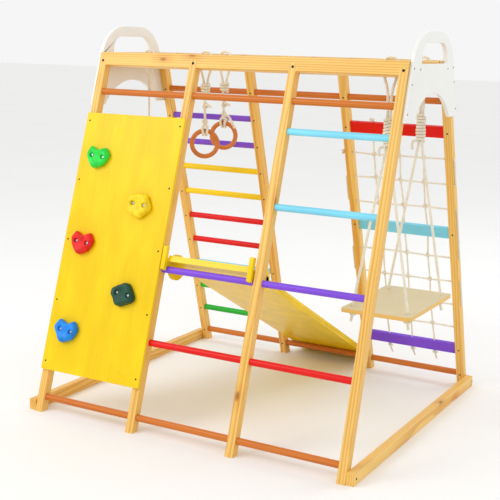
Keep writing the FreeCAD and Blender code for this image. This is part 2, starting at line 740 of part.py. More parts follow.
def outline_open(points, bend):
    """An open path with each inner corner rounded by the bend radius."""
    edges, here = [], points[0]
    for i in range(1, len(points) - 1):
        a = (points[i - 1] - points[i]).normalize()
        b = (points[i + 1] - points[i]).normalize()
        start, end = points[i] + a * bend, points[i] + b * bend
        if (here - start).Length > 1e-6:
            edges.append(Part.LineSegment(here, start).toShape())
        middle = points[i] + (a + b).normalize() * bend * (math.sqrt(2) - 1)
        edges.append(Part.Arc(start, middle, end).toShape())
        here = end
    if (here - points[-1]).Length > 1e-6:
        edges.append(Part.LineSegment(here, points[-1]).toShape())
    return Part.Wire(edges)


# ---------------------------------------------------------------- swing, rings and rope
def strand_gap(d):
    """From the middle of a doubled rope to the middle of each strand."""
    return (d + strand_clear) / 2


def loop_points(x, y, top, d):
    """A rope's points round a monkey bar, from its left strand to its right strand."""
    r = bar_reach + loop_clear + d / 2
    corner = r * math.tan(math.pi / 8)
    half = [(-strand_gap(d), merge_z), (-r, top - loop_shoulder), (-r, top + corner), (-corner, top + r)]
    return [(x + px, y, z) for px, z in half] + [(x - px, y, z) for px, z in reversed(half)]


def make_swing():
    """The swing: a flat seat on two ropes, each looped over the last bar but for its coil."""
    x = bar_x[swing_bar]
    low = seat_top_z - seat_t
    seat = rounded((x - seat_x / 2, x + seat_x / 2), (-seat_y / 2, seat_y / 2), (low, seat_top_z),
                   seat_corner_r, "z")
    hole_x, hole_y = seat_hole
    spots = [(x + sx * hole_x, sy * hole_y) for sx in (-1, 1) for sy in (-1, 1)]
    seat = cut_all(seat, [rod(seat_hole_r, (*s, low - seat_t), (*s, seat_top_z + seat_t))
                          for s in spots])
    keep("swing_seat", seat)
    knots = []
    for side, sign in (("front", -1), ("rear", 1)):
        y, seat_at = sign * swing_rope_y, sign * hole_y
        coil_low, coil_high = swing_coil_z
        gap = strand_gap(hang_d)
        half = [(-hole_x, seat_at, low - seat_rope[0]), (-hole_x, seat_at, seat_top_z + seat_rope[1]),
                (-gap, y, coil_low), (-gap, y, coil_high)]
        left = [(x + px, py, z) for px, py, z in half]
        right = [(x - px, py, z) for px, py, z in reversed(half)]
        route = left + loop_points(x, y, bar_mid_z, hang_d)[1:-1] + right
        keep(f"swing_rope_{side}", tube(f"swing_rope_{side}", drop_in_line(route), hang_d))
        knots.append(rod(coil_r, (x, y, coil_low), (x, y, coil_high)))
        knots += [egg(seat_knot_r, (x + sx * hole_x, seat_at, low - seat_knot_drop), 1.0)
                  for sx in (-1, 1)]
    keep("swing_knots", *knots)


def drop_in_line(route):
    """A route without the points that lie in line with their neighbours."""
    kept = [route[0]]
    for before, point, after in zip(route, route[1:], route[2:]):
        a, b = V(*point) - V(*before), V(*after) - V(*point)
        if a.getAngle(b) > 1e-4:
            kept.append(point)
    return kept + [route[-1]]


def make_rings():
    """Two gym rings, each on a rope looped over one bar and hitched round the ring."""
    x = bar_x[ring_bar]
    for side, (y, z, turn) in ring_places.items():
        axis = V(-math.sin(math.radians(turn)), math.cos(math.radians(turn)), 0)
        centre = V(x, y, z)
        keep(f"gym_ring_{side}", Part.makeTorus(ring_r, ring_section_r, centre, axis))
        wrap_r = ring_section_r + hang_d / 2 + hitch_gap
        along = V(axis.y, -axis.x, 0)
        wraps = []
        for step in (-hitch_step_deg, hitch_step_deg):
            angle = math.radians(step)
            out = V(0, 0, 1) * math.cos(angle) + along * math.sin(angle)
            tangent = along * math.cos(angle) - V(0, 0, 1) * math.sin(angle)
            wraps.append(Part.makeTorus(wrap_r, hang_d / 2, centre + out * ring_r, tangent))
        top = centre + V(0, 0, ring_r + wrap_r)
        bight = Part.makeCylinder(hang_d / 2, 2 * hang_d, top - along * hang_d, along)
        hitch = bight.fuse(wraps)
        start = (x, y, top.z + hang_d / 2)
        gap = strand_gap(hang_d)
        low, high = ring_coil_z
        route = [start, (x, y, ring_knot_z - ring_rope_bend), (x - gap, y, low)]
        route += loop_points(x, y, bar_mid_z, hang_d)
        route.append((x + gap, y, low + rope_d))
        keep(f"ring_rope_{side}", tube(f"ring_rope_{side}", drop_in_line(route), hang_d))
        coil = rod(coil_r, (x, y, low), (x, y, high))
        keep(f"ring_knots_{side}", hitch, coil, egg(ring_knot_r, (x - 1.5, y, ring_knot_z), 1.1))


def make_climbing_rope():
    """A knotted climbing rope looped over the first bar."""
    x = bar_x[climb_bar]
    top_knot, gap = climb_top_knot_z, strand_gap(rope_d)
    route = [(x, 0, climb_end_z), (x, 0, top_knot - climb_bend), (x - gap, 0, top_knot)]
    route += loop_points(x, 0, bar_mid_z, rope_d)
    route.append((x + gap, 0, top_knot))
    keep("climbing_rope", tube("climbing_rope", drop_in_line(route), rope_d))
    knots = [egg(knot_r, (x, 0, z), 1.3) for z in climb_knot_z]
    knots.append(egg(knot_r * 1.2, (x, 0, climb_end_z), 1.5))
    keep("climbing_rope_knots", *knots)
    keep("climbing_rope_noose", egg(knot_r, (x, 0, top_knot), 1.2))


make_sides()
make_bars()
make_panels()
make_runners()
make_board()
make_slide()
make_net()
make_swing()
make_rings()
make_climbing_rope()
keep("wood_screws", *screws)
keep("nuts", *nuts)

os.makedirs("parts", exist_ok=True)
for name, shapes in parts.items():
    solids = [solid for shape in shapes for solid in shape.Solids]
    shape = solids[0] if len(solids) == 1 else Part.makeCompound(solids)
    shape.translate(-footprint_mid)
    shape.exportStep(f"parts/{name}.step")
    if not shape.isValid() or shape.Volume <= 0:
        print("not sound:", name)
    print(f"{name}: {len(solids)} solids, {shape.Volume / 1000:.1f} cm3")
print("nodes", len(parts), "moved by", -footprint_mid)
print("slide pivot", V(0, *slide_pivot) - footprint_mid, "tilt", math.degrees(slide_tilt))
print("bar axis height", bar_mid_z, "bars at", [round(x - footprint_mid.x, 2) for x in bar_x])
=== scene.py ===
# %% [markdown]
# # A wooden climbing frame with monkey bars
#
# The real thing is a child's indoor gym: eight leaning pine posts, a row of bars overhead, a
# yellow climbing board, painted rungs, a rope net, a slide, a swing, two gym rings and a knotted
# rope. The woodwork comes in as a fixed frame with every size already settled. This lesson gives
# it its finishes, and makes what a joiner doesn't: ropes, knots, moulded holds and screw heads.

# %% The fixed frame
import json
import math
import random

import bmesh
import bpy
import numpy as np
from mathutils import Matrix, Vector, noise

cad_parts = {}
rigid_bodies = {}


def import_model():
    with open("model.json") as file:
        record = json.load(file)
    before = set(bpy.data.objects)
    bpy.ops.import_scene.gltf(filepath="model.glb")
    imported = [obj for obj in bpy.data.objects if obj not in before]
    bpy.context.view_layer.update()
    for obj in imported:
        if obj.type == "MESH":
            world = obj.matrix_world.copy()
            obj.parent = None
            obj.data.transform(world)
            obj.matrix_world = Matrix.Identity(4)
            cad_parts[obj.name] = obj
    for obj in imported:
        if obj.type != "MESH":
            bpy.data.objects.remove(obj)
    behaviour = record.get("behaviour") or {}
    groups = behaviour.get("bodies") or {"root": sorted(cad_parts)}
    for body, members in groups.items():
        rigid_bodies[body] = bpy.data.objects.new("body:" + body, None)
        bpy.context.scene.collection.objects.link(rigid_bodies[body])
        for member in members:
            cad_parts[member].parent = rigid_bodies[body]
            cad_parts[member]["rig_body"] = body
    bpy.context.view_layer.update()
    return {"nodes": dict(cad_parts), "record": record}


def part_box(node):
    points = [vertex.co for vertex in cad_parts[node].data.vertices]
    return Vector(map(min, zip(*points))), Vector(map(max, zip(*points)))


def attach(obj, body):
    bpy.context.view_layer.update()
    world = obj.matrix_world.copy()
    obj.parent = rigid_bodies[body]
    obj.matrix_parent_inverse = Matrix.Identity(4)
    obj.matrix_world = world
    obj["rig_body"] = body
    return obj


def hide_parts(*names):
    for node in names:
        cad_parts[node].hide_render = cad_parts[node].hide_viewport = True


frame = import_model()
nodes = frame["nodes"]
MM = 0.001

# %% [markdown]
# ## Where things are
#
# Places are measured from the frame's own middle: the ridge runs midway between the two beams, and
# both sides lean towards it. A side is easiest to think of flat, as it lay on the workbench: x
# along the frame, d the depth inwards from the outer face, a the distance up the outer face.
# One function takes such a flat point to its place in the standing frame.

# %% Middle, ridge and the leaning sides
beam_low, beam_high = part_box("front_beam")
rear_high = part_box("rear_beam")[1]
MIDDLE_X = (beam_low.x + beam_high.x) / 2
RIDGE_Y = (beam_low.y + rear_high.y) / 2
FOOT_Y = RIDGE_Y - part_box("front_post_1")[0].y
LEAN = math.radians(16.88)
POST_DEEP = 35 * MM
BAR_Z = (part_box("monkey_bars")[0].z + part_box("monkey_bars")[1].z) / 2     # their middle


def at(x, y, z):
    """A point given in millimetres from the middle of the frame."""
    return Vector((MIDDLE_X + x * MM, RIDGE_Y + y * MM, z * MM))


def on_side(x, d, a, side="front"):
    """A flat point of a side, in metres from the middle of the frame, at its real place."""
    y = -FOOT_Y + d * math.cos(LEAN) + a * math.sin(LEAN)
    z = a * math.cos(LEAN) - d * math.sin(LEAN)
    return Vector((MIDDLE_X + x, RIDGE_Y + (y if side == "front" else -y), z))


def facing(side="front"):
    """The direction that a side's outer face looks in."""
    y = -math.cos(LEAN) if side == "front" else math.cos(LEAN)
    return Vector((0, y, math.sin(LEAN)))


print("middle", round(MIDDLE_X, 4), "ridge", round(RIDGE_Y, 4), "bars at", round(BAR_Z, 4))

# %% [markdown]
# ## Camera, floor and light
#
# The camera stands to the right of the frame at a grown-up's eye height, with a long lens, so the
# posts stay nearly parallel. It is placed first.
# Light is soft: a bright room all round, a big lamp high on the left and a weaker one behind.

# %% Camera
EYE = at(1950.5, -3604.5, 1406.5)
YAW, PITCH, ROLL = -0.5125, -0.1505, 0.0220


def aim(yaw, pitch, roll):
    """Turns a heading, a tilt and a roll into the camera's three axes."""
    ahead = Vector((math.sin(yaw) * math.cos(pitch), math.cos(yaw) * math.cos(pitch),
                    math.sin(pitch)))
    side = Vector((math.cos(yaw), -math.sin(yaw), 0))
    over = side.cross(ahead)
    right = side * math.cos(roll) + over * math.sin(roll)
    up = over * math.cos(roll) - side * math.sin(roll)
    return Matrix((right, up, -ahead)).transposed().to_4x4()


camera_data = bpy.data.cameras.new("camera")
camera_data.sensor_width = 36
camera_data.lens = 76.35
camera_data.shift_x = 0.001
camera_data.shift_y = -0.0948
camera = bpy.data.objects.new("camera", camera_data)
camera.matrix_world = Matrix.Translation(EYE) @ aim(YAW, PITCH, ROLL)
bpy.context.scene.collection.objects.link(camera)
bpy.context.scene.camera = camera
print("camera at", [round(value, 3) for value in EYE])


# %% Floor, room light and lamps
def link(item):
    """Puts an object in the scene."""
    bpy.context.scene.collection.objects.link(item)
    return item


def mesh_object(name, vertices, faces, edges=()):
    """An object from plain lists of points and faces."""
    mesh = bpy.data.meshes.new(name)
    mesh.from_pydata([tuple(v) for v in vertices], list(edges), list(faces))
    mesh.update()
    return link(bpy.data.objects.new(name, mesh))


def lamp(name, spot, target, width, power, colour=(1, 1, 1)):
    """A square soft lamp that looks at a point."""
    data = bpy.data.lights.new(name, "AREA")
    data.size = width
    data.energy = power
    data.color = colour
    item = link(bpy.data.objects.new(name, data))
    item.location = spot
    item.rotation_euler = (Vector(target) - Vector(spot)).to_track_quat("-Z", "Y").to_euler()
    return item


HALF_FLOOR = 40.0
floor = mesh_object("floor", [(sx * HALF_FLOOR, sy * HALF_FLOOR, 0)
                              for sx, sy in ((-1, -1), (1, -1), (1, 1), (-1, 1))], [(0, 1, 2, 3)])
lamp("key_lamp", (-2.6, -3.6, 3.6), (0, 0, 0.6), 2.4, 78)
lamp("back_lamp", (2.4, 3.2, 3.4), (0, 0, 0.7), 2.0, 36)
world = bpy.data.worlds.new("room")
world.use_nodes = True
world.node_tree.nodes["Background"].inputs["Color"].default_value = (1, 1, 1, 1)
world.node_tree.nodes["Background"].inputs["Strength"].default_value = 0.92
bpy.context.scene.world = world
bpy.context.scene.view_settings.view_transform = "Standard"
print("floor and lamps are in")

# %% [markdown]
# ## Node sums, written as sums
#
# A finish is a recipe of numbers that change over a surface. Wiring Math nodes by hand hides the
# recipe, so one small class wraps a socket and lets Python write it: `1 - mask * 0.4` adds its
# nodes by itself. The same class serves finishes and geometry rules, as both use Math nodes.


# %% Sockets that can be added and multiplied
class Value:
    """A socket of a node tree; sums on it add the nodes that work them out."""

    def __init__(self, bench, socket):
        self.bench = bench
        self.socket = socket

    def math(self, operation, other=0.0, swap=False):
        pair = (other, self) if swap else (self, other)
        return self.bench.node("ShaderNodeMath", {"operation": operation},
                               {0: pair[0], 1: pair[1]})

    def __add__(self, other):
        return self.math("ADD", other)

    def __sub__(self, other):
        return self.math("SUBTRACT", other)

    def __rsub__(self, other):
        return self.math("SUBTRACT", other, swap=True)

    def __mul__(self, other):
        return self.math("MULTIPLY", other)

    def __truediv__(self, other):
        return self.math("DIVIDE", other)

    def __pow__(self, other):
        return self.math("POWER", other)

    def __mod__(self, other):
        return self.math("FLOORED_MODULO", other)

    def __gt__(self, other):
        return self.math("GREATER_THAN", other)

    __radd__ = __add__
    __rmul__ = __mul__

    def output(self, name):
        """Another output of the same node."""
        return Value(self.bench, self.socket.node.outputs[name])


class Bench:
    """Builds one node tree."""

    def __init__(self, tree):
        self.tree = tree

    def feed(self, socket, value):
        if isinstance(value, Value):
            self.tree.links.new(value.socket, socket)
        else:
            socket.default_value = value

    def node(self, kind, settings=None, inputs=None, output=0):
        made = self.tree.nodes.new(kind)
        for name, value in (settings or {}).items():
            setattr(made, name, value)
        for name, value in (inputs or {}).items():
            self.feed(made.inputs[name], value)
        return Value(self, made.outputs[output])


print("node sums are ready")

# %% [markdown]
# ## Finishes
#
# Each finish is a material on the piece's own object coordinates, so it stays put when a piece
# swings. Helpers: one starts a finish, one makes noise stretched along the grain, one mixes two
# colours, and one turns a height into a bump.


# %% The finishing bench
def srgb(red, green, blue):
    """A colour given 0 to 255, as the linear values that a shader wants."""
    shares = [c / 255 for c in (red, green, blue)]
    return tuple(c / 12.92 if c <= 0.04045 else ((c + 0.055) / 1.055) ** 2.4
                 for c in shares) + (1.0,)


def toned(colour, factor, lift=0.0):
    """A colour made darker or paler, and lifted a little towards white."""
    return tuple(min(1.0, c * factor + lift) for c in colour[:3]) + (1.0,)


class Finish(Bench):
    """A bench for one material."""

    def __init__(self, name):
        self.material = bpy.data.materials.new(name)
        self.material.use_nodes = True
        super().__init__(self.material.node_tree)
        self.shader = self.tree.nodes["Principled BSDF"]

    def set(self, **inputs):
        """Feeds the shader; Base_Color stands for its Base Color."""
        for name, value in inputs.items():
            self.feed(self.shader.inputs[name.replace("_", " ")], value)
        return self

    def place(self, turn=(0, 0, 0), stretch=(1, 1, 1), shift=(0, 0, 0)):
        """Object coordinates, turned and stretched."""
        point = self.node("ShaderNodeTexCoord", output="Object")
        turned = self.node("ShaderNodeMapping", inputs={"Vector": point, "Rotation": turn})
        return self.node("ShaderNodeMapping",
                         inputs={"Vector": turned, "Location": shift, "Scale": stretch})

    def noise(self, vector, scale=1.0, detail=2.0, rough=0.5):
        return self.node("ShaderNodeTexNoise", inputs={"Vector": vector, "Scale": scale,
                                                       "Detail": detail, "Roughness": rough})

    def mix(self, factor, first, second):
        return self.node("ShaderNodeMix", {"data_type": "RGBA"},
                         {0: factor, 6: first, 7: second}, output=2)

    def smooth(self, value, low, high):
        """0 below low, 1 above high, and soft between."""
        return self.node("ShaderNodeMapRange", {"interpolation_type": "SMOOTHSTEP"},
                         {"Value": value, "From Min": low, "From Max": high})

    def bump(self, height, distance, strength=1.0):
        return self.node("ShaderNodeBump", inputs={"Height": height, "Distance": distance,
                                                   "Strength": strength})


# %% [markdown]
# ## Pine
#
# Planed pine shows straight yearly rings as parallel lines along the face, and curved rings on a
# sawn end. A picture of lines would slide over the edges, so the wood is made solid: the distance
# from the tree's heart, which lies outside the post, is cut into rings, each pale and slowly
# darkening to a thin resinous line. Fine fibre streaks and a slow wander are stretched along it.

# %% Pine and stained wood
ALONG_X = (0, math.radians(-90), 0)
ALONG_Y = (math.radians(90), 0, 0)
UP_FRONT = (LEAN, 0, 0)
UP_REAR = (-LEAN, 0, 0)
PINE = (srgb(243, 201, 112), srgb(210, 142, 52), srgb(150, 88, 34))
STAINED = (srgb(212, 122, 44), srgb(176, 86, 26), srgb(132, 62, 18))


def wood(name, turn, heart, colours=PINE, ring=7.5 * MM, strong=0.7, gloss=0.36):
    """Solid wood whose length lies along the turned Z, with its heart at a place across it."""
    pale, dark, knot_colour = colours
    make = Finish(name)
    along = make.place(turn, (1, 1, 1), (heart[0], heart[1], heart[0] * 7))
    parts = make.node("ShaderNodeSeparateXYZ", inputs={0: along})
    x, y = parts.output("X"), parts.output("Y")
    slow = make.place(turn, (7, 7, 1.1), (heart[0] * 31, heart[1] * 17, 0))
    wander = make.noise(slow, 1.0, 3.0, 0.45) - 0.5
    radius = (x ** 2 + y ** 2) ** 0.5 + wander * (30 * MM)
    uneven = make.noise(make.place(turn, (40, 40, 0.6)), 1.0, 1.0)
    saw = (radius / ring) % 1.0
    line = make.smooth(saw, 0.25, 0.93) - make.smooth(saw, 0.93, 1.0)
    fibres = make.noise(make.place(turn, (620, 620, 9)), 1.0, 3.0, 0.6)
    broad = make.noise(make.place(turn, (16, 16, 1.5), (heart[1] * 9, 0, 0)), 1.0, 2.0)
    # knots: rare spots, long along the grain, each with a dark heart
    cells = make.node("ShaderNodeTexVoronoi", {"feature": "F1"},
                      {"Vector": make.place(turn, (9, 9, 4.2), (heart[0] * 57, heart[1] * 41, 2)),
                       "Scale": 1.0, "Randomness": 1.0})
    knot = 1 - make.smooth(cells, 0.03, 0.10)
    halo = 1 - make.smooth(cells, 0.06, 0.30)
    tone = line * (0.62 * strong) * (0.55 + uneven * 0.9) + (fibres - 0.5) * 0.28
    tone = tone + (broad - 0.5) * 0.6 + halo * 0.25 + 0.06
    colour = make.mix(make.smooth(tone, -0.15, 0.95), pale, dark)
    colour = make.mix(knot * 0.8, colour, knot_colour)
    height = fibres * 0.5 + line * 0.35
    make.set(Base_Color=colour, Roughness=gloss + (fibres - 0.5) * 0.12 + line * 0.05,
             Normal=make.bump(height, 0.25 * MM, 0.5), Specular_IOR_Level=0.25)
    return make.material


def dress(node, material):
    """Gives a piece of the frame its finish."""
    for holder in nodes[node].material_slots:
        holder.material = material


HEARTS = [(0.071, 0.043), (-0.052, 0.083), (0.094, -0.038), (-0.083, -0.061),
          (0.047, 0.090), (-0.098, 0.035), (0.063, -0.081), (-0.044, -0.093)]
for number in range(4):
    for side, turn, heart in (("front", UP_FRONT, HEARTS[number]),
                              ("rear", UP_REAR, HEARTS[7 - number])):
        post = f"{side}_post_{number + 1}"
        dress(post, wood(f"pine_{post}", turn, heart))
dress("front_beam", wood("pine_front_beam", ALONG_X, (-1.42, 0.31), ring=9 * MM))
dress("rear_beam", wood("pine_rear_beam", ALONG_X, (-1.27, -0.24), ring=9 * MM))
dress("monkey_bars", wood("pine_bars", ALONG_Y, (0.033, 0.021), ring=7 * MM))
dress("bar_pins", wood("pine_pins", ALONG_Y, (0.3, 0.2)))
dress("end_cross_pieces", wood("pine_cross_pieces", ALONG_Y, (0.11, 0.27)))
dress("floor_runners", wood("pine_runners", ALONG_Y, (0.42, 0.13), ring=8 * MM))
stained = wood("stained_rails", ALONG_X, (0.2, 0.31), STAINED, ring=7 * MM, strong=0.55, gloss=0.3)
dress("upper_rails", stained)
dress("lower_rails", stained)
print("pine finishes:", len([m for m in bpy.data.materials if m.name.startswith("pine")]))

# %% [markdown]
# ## Paint
#
# The rungs and boards are brush-painted wood. Paint hides the colour of the grain but not its
# ridges, so the finish is one colour with a slight cloudiness, a soft gloss, and a faint bump of
# fibres along the piece.


# %% Painted wood
def paint(name, colour, turn=ALONG_X, gloss=0.3, ridges=0.35):
    """One coat of coloured paint over planed wood."""
    make = Finish(name)
    fibres = make.noise(make.place(turn, (420, 420, 7)), 1.0, 3.0, 0.6)
    cloud = make.noise(make.place(turn, (14, 14, 5)), 1.0, 2.0)
    tone = make.smooth(cloud * 0.55 + fibres * 0.45, 0.35, 0.72)
    base = make.mix(tone, toned(colour, 0.88), toned(colour, 1.06, 0.004))
    make.set(Base_Color=base, Roughness=gloss + (cloud - 0.5) * 0.10 + (fibres - 0.5) * 0.08,
             Normal=make.bump(fibres, 0.12 * MM, ridges), Specular_IOR_Level=0.25)
    return make.material


PAINT_COLOURS = {"purple": srgb(132, 78, 222), "red": srgb(232, 16, 10),
                 "light_blue": srgb(132, 220, 246), "green": srgb(36, 182, 48),
                 "yellow": srgb(252, 214, 4)}
paints = {name: paint(f"{name}_paint", colour) for name, colour in PAINT_COLOURS.items()}
for colour in ("green", "light_blue", "red", "yellow", "purple"):
    dress(f"ladder_rungs_{colour}", paints[colour])
for colour in ("purple", "light_blue", "red"):
    dress(f"net_board_{colour}", paints[colour])
dress("rung_purple", paints["purple"])
dress("rung_red", paints["red"])
dress("rungs_light_blue", paints["light_blue"])
DOWN_SLIDE = (math.radians(62), 0, 0)
board_paint = paint("board_paint", srgb(247, 206, 2), UP_FRONT, gloss=0.34, ridges=0.1)
slide_paint = paint("slide_paint", srgb(250, 212, 14), DOWN_SLIDE, gloss=0.22, ridges=0.12)
print("paints:", sorted(paints))


# %% [markdown]
# ## Other finishes
#
# The end panels are coated white board: smooth, with the faint dimples of sprayed lacquer. The
# seat is birch ply with a beige film on its faces and bare layers on its edges. Holds are cast
# resin with a sandy skin. Steel parts are black or zinc plated. Rope carries its own thread
# pattern, which follows attributes laid down when it is twisted, a little further on.


# %% Panels and seat
def white_coat():
    """Sprayed lacquer on the end panels."""
    make = Finish("white_coat")
    dimples = make.noise(make.place(), 900.0, 2.0)
    cloud = make.noise(make.place(), 9.0, 2.0)
    base = make.mix(cloud, srgb(232, 232, 227), srgb(240, 240, 236))
    make.set(Base_Color=base, Roughness=0.28 + cloud * 0.08,
             Normal=make.bump(dimples, 0.05 * MM, 0.3), Coat_Weight=0.15)
    return make.material


def seat_ply():
    """Ply with a film on both faces; the edge shows the layers, pale and dark in turn."""
    low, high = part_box("swing_seat")
    skin, layers = 0.7 * MM, 3 * MM
    make = Finish("seat_ply")
    z = make.node("ShaderNodeSeparateXYZ", inputs={0: make.place()}).output("Z")
    face = (z > high.z - skin) + (1 - (z > low.z + skin))
    layer = make.node("ShaderNodeMath", {"operation": "SINE"}, {0: z * (2 * math.pi / layers)})
    streak = make.noise(make.place((0, 0, 0), (12, 12, 900)), 1.0, 3.0)
    edge = make.mix(make.smooth(layer + (streak - 0.5) * 2, -0.6, 0.9),
                    srgb(244, 203, 110), srgb(214, 158, 66))
    film = make.noise(make.place(), 420.0, 4.0, 0.7)
    cloud = make.noise(make.place(), 11.0, 3.0)
    top = make.mix(film * 0.6 + cloud * 0.4, srgb(204, 188, 142), srgb(226, 211, 168))
    make.set(Base_Color=make.mix(face, edge, top), Roughness=0.48 - face * 0.08,
             Normal=make.bump(film * face + streak * (1 - face), 0.08 * MM, 0.5))
    return make.material


panel_coat = white_coat()
ply = seat_ply()
print("panel and seat finishes:", panel_coat.name, ply.name)


# %% Holds, steel and ring varnish
def resin(name, colour):
    """Cast resin with a sandy skin."""
    make = Finish(name)
    sand = make.noise(make.place(), 1300.0, 3.0, 0.7)
    cloud = make.noise(make.place(), 34.0, 3.0)
    tone = make.smooth(cloud * 0.6 + sand * 0.4, 0.35, 0.65)
    base = make.mix(tone, toned(colour, 0.72), toned(colour, 1.1, 0.01))
    make.set(Base_Color=base, Roughness=0.34 + sand * 0.2,
             Normal=make.bump(sand + cloud * 2, 0.22 * MM, 0.6), Specular_IOR_Level=0.35)
    return make.material


def steel(name, colour, metal, gloss):
    """Plated steel, rubbed paler in places."""
    make = Finish(name)
    grain = make.noise(make.place(), 2200.0, 2.0)
    rubbed = make.noise(make.place(), 260.0, 3.0)
    base = make.mix(make.smooth(rubbed, 0.4, 0.75), colour, toned(colour, 1.5, 0.012))
    make.set(Base_Color=base, Metallic=metal, Roughness=gloss + grain * 0.14,
             Normal=make.bump(grain, 0.03 * MM, 0.4))
    return make.material


black_steel = steel("black_steel", srgb(30, 28, 28), 0.65, 0.38)
zinc = steel("zinc_plate", srgb(176, 180, 184), 1.0, 0.26)
hold_colours = {
    "hold_green": srgb(30, 222, 70), "hold_yellow": srgb(250, 214, 8),
    "hold_red": srgb(234, 20, 14), "hold_dark_green": srgb(8, 70, 50),
    "hold_blue": srgb(4, 138, 238),
}
resins = {name: resin(f"resin_{name[5:]}", colour) for name, colour in hold_colours.items()}
dress("nuts", zinc)
VARNISHED = (srgb(222, 140, 74), srgb(176, 92, 38), srgb(140, 70, 30))
ring_varnish = wood("ring_varnish", ALONG_X, (0.05, 0.09), VARNISHED, ring=4 * MM, strong=0.8,
                    gloss=0.22)
for side in ("front", "rear"):
    dress(f"gym_ring_{side}", ring_varnish)
print("finishes in all:", len(bpy.data.materials))


# %% [markdown]
# ### Floor finish
#
# A plain pale floor, with only the softest unevenness so that it doesn't look like a card.


# %% Floor finish
def floor_paint():
    """Pale matt paint with hardly any cloud in it."""
    make = Finish("floor_paint")
    cloud = make.noise(make.place(), 1.3, 3.0)
    make.set(Base_Color=make.mix(cloud, srgb(243, 243, 242), srgb(248, 248, 247)),
             Roughness=0.75)
    return make.material


floor.data.materials.append(floor_paint())
print("floor painted")

# %% [markdown]
# ## Rope
#
# The ropes are soft cotton, three strands laid round each other. A bumpy tube can't show that
# from the side, so each strand is real geometry. A Geometry Nodes rule takes any line, spaces
# points evenly on it, and pushes three copies sideways round it by an angle that grows with the
# length, one turn to every lay. Each copy is swept with a small circle. The rule also stores the
# way round the strand and the length along it, and the thread pattern of the finish reads them.


# %% Cotton finish
THREAD_GAP = 5.2 * MM       # from one thread to the next along a strand
THREADS = 5                 # round a strand


def cotton():
    """Cotton thread: its pattern follows each strand round and along; its grooves carry painted
    shade.
    """
    make = Finish("cotton")
    turn = make.node("ShaderNodeAttribute", {"attribute_name": "turn"}, output="Vector")
    parts = make.node("ShaderNodeSeparateXYZ", inputs={0: turn})
    angle = parts.output("Y").math("ARCTAN2", parts.output("X"))
    length = make.node("ShaderNodeAttribute", {"attribute_name": "along"}, output="Fac")
    thread_relief_and_groove_shade = make.node("ShaderNodeMath", {"operation": "SINE"},
                        {0: angle * THREADS - length * (2 * math.pi / THREAD_GAP)})
    fuzz = make.noise(make.place(), 1500.0, 3.0, 0.7)
    cloud = make.noise(make.place(), 60.0, 2.0)
    # the thread sine paints shade into the grooves between threads; fuzz and cloud are the cotton's
    # own uneven tone
    tone = thread_relief_and_groove_shade * 0.22 + 0.5 + (fuzz - 0.5) * 0.7 + (cloud - 0.5) * 0.5
    base = make.mix(make.smooth(tone, 0.1, 0.8), srgb(222, 211, 180), srgb(252, 248, 236))
    make.set(Base_Color=base, Roughness=0.92,
             Normal=make.bump(thread_relief_and_groove_shade * 0.5 + fuzz, 0.35 * MM, 0.6), Sheen_Weight=0.25)
    return make.material


cotton_finish = cotton()
print("cotton has", len(cotton_finish.node_tree.nodes), "nodes")


# %% A tree with named inputs
def rule(name, inputs):
    """A geometry rule: its bench, with a geometry in, named inputs, and a geometry out."""
    tree = bpy.data.node_groups.new(name, "GeometryNodeTree")
    tree.interface.new_socket("Geometry", in_out="INPUT", socket_type="NodeSocketGeometry")
    for title, (kind, value) in inputs.items():
        socket = tree.interface.new_socket(title, in_out="INPUT", socket_type=f"NodeSocket{kind}")
        if value is not None:
            socket.default_value = value
    tree.interface.new_socket("Geometry", in_out="OUTPUT", socket_type="NodeSocketGeometry")
    bench = Bench(tree)
    source = tree.nodes.new("NodeGroupInput")
    bench.given = {item.name: Value(bench, item) for item in source.outputs if item.name}
    bench.result = tree.nodes.new("NodeGroupOutput").inputs["Geometry"]
    return bench


def settled(item):
    """The mesh that an object's modifiers or curve come to; the object itself is removed."""
    ready = item.evaluated_get(bpy.context.evaluated_depsgraph_get())
    mesh = bpy.data.meshes.new_from_object(ready)
    bpy.data.objects.remove(item)
    return mesh


def grow(name, carrier, bench, **values):
    """Runs a rule on a carrier and keeps the result as a plain mesh."""
    modifier = carrier.modifiers.new("rule", "NODES")
    modifier.node_group = bench.tree
    for item in bench.tree.interface.items_tree:
        key = item.name.lower().replace(" ", "_")
        if item.in_out == "INPUT" and key in values:
            modifier[item.identifier] = values[key]
    return link(bpy.data.objects.new(name, settled(carrier)))


# %% The rule that twists a rope
ROPE, LAY = 8 * MM, 24 * MM                 # the net and the climbing rope
THICK_ROPE, THICK_LAY = 11 * MM, 32 * MM    # the swing and the rings
STRANDS = 3
STRAND_SHARE = 0.475        # a strand's radius in rope radii: neighbours just sink together
FINE = {"step": 2.6 * MM, "sides": 7}
COARSE = {"step": 3.4 * MM, "sides": 6}     # for the many knots and the long net
rope_rule = rule("three strand rope", {
    "Rope radius": ("Float", ROPE / 2),
    "Lay": ("Float", LAY),
    "Step": ("Float", FINE["step"]),
    "Sides": ("Int", FINE["sides"]),
})


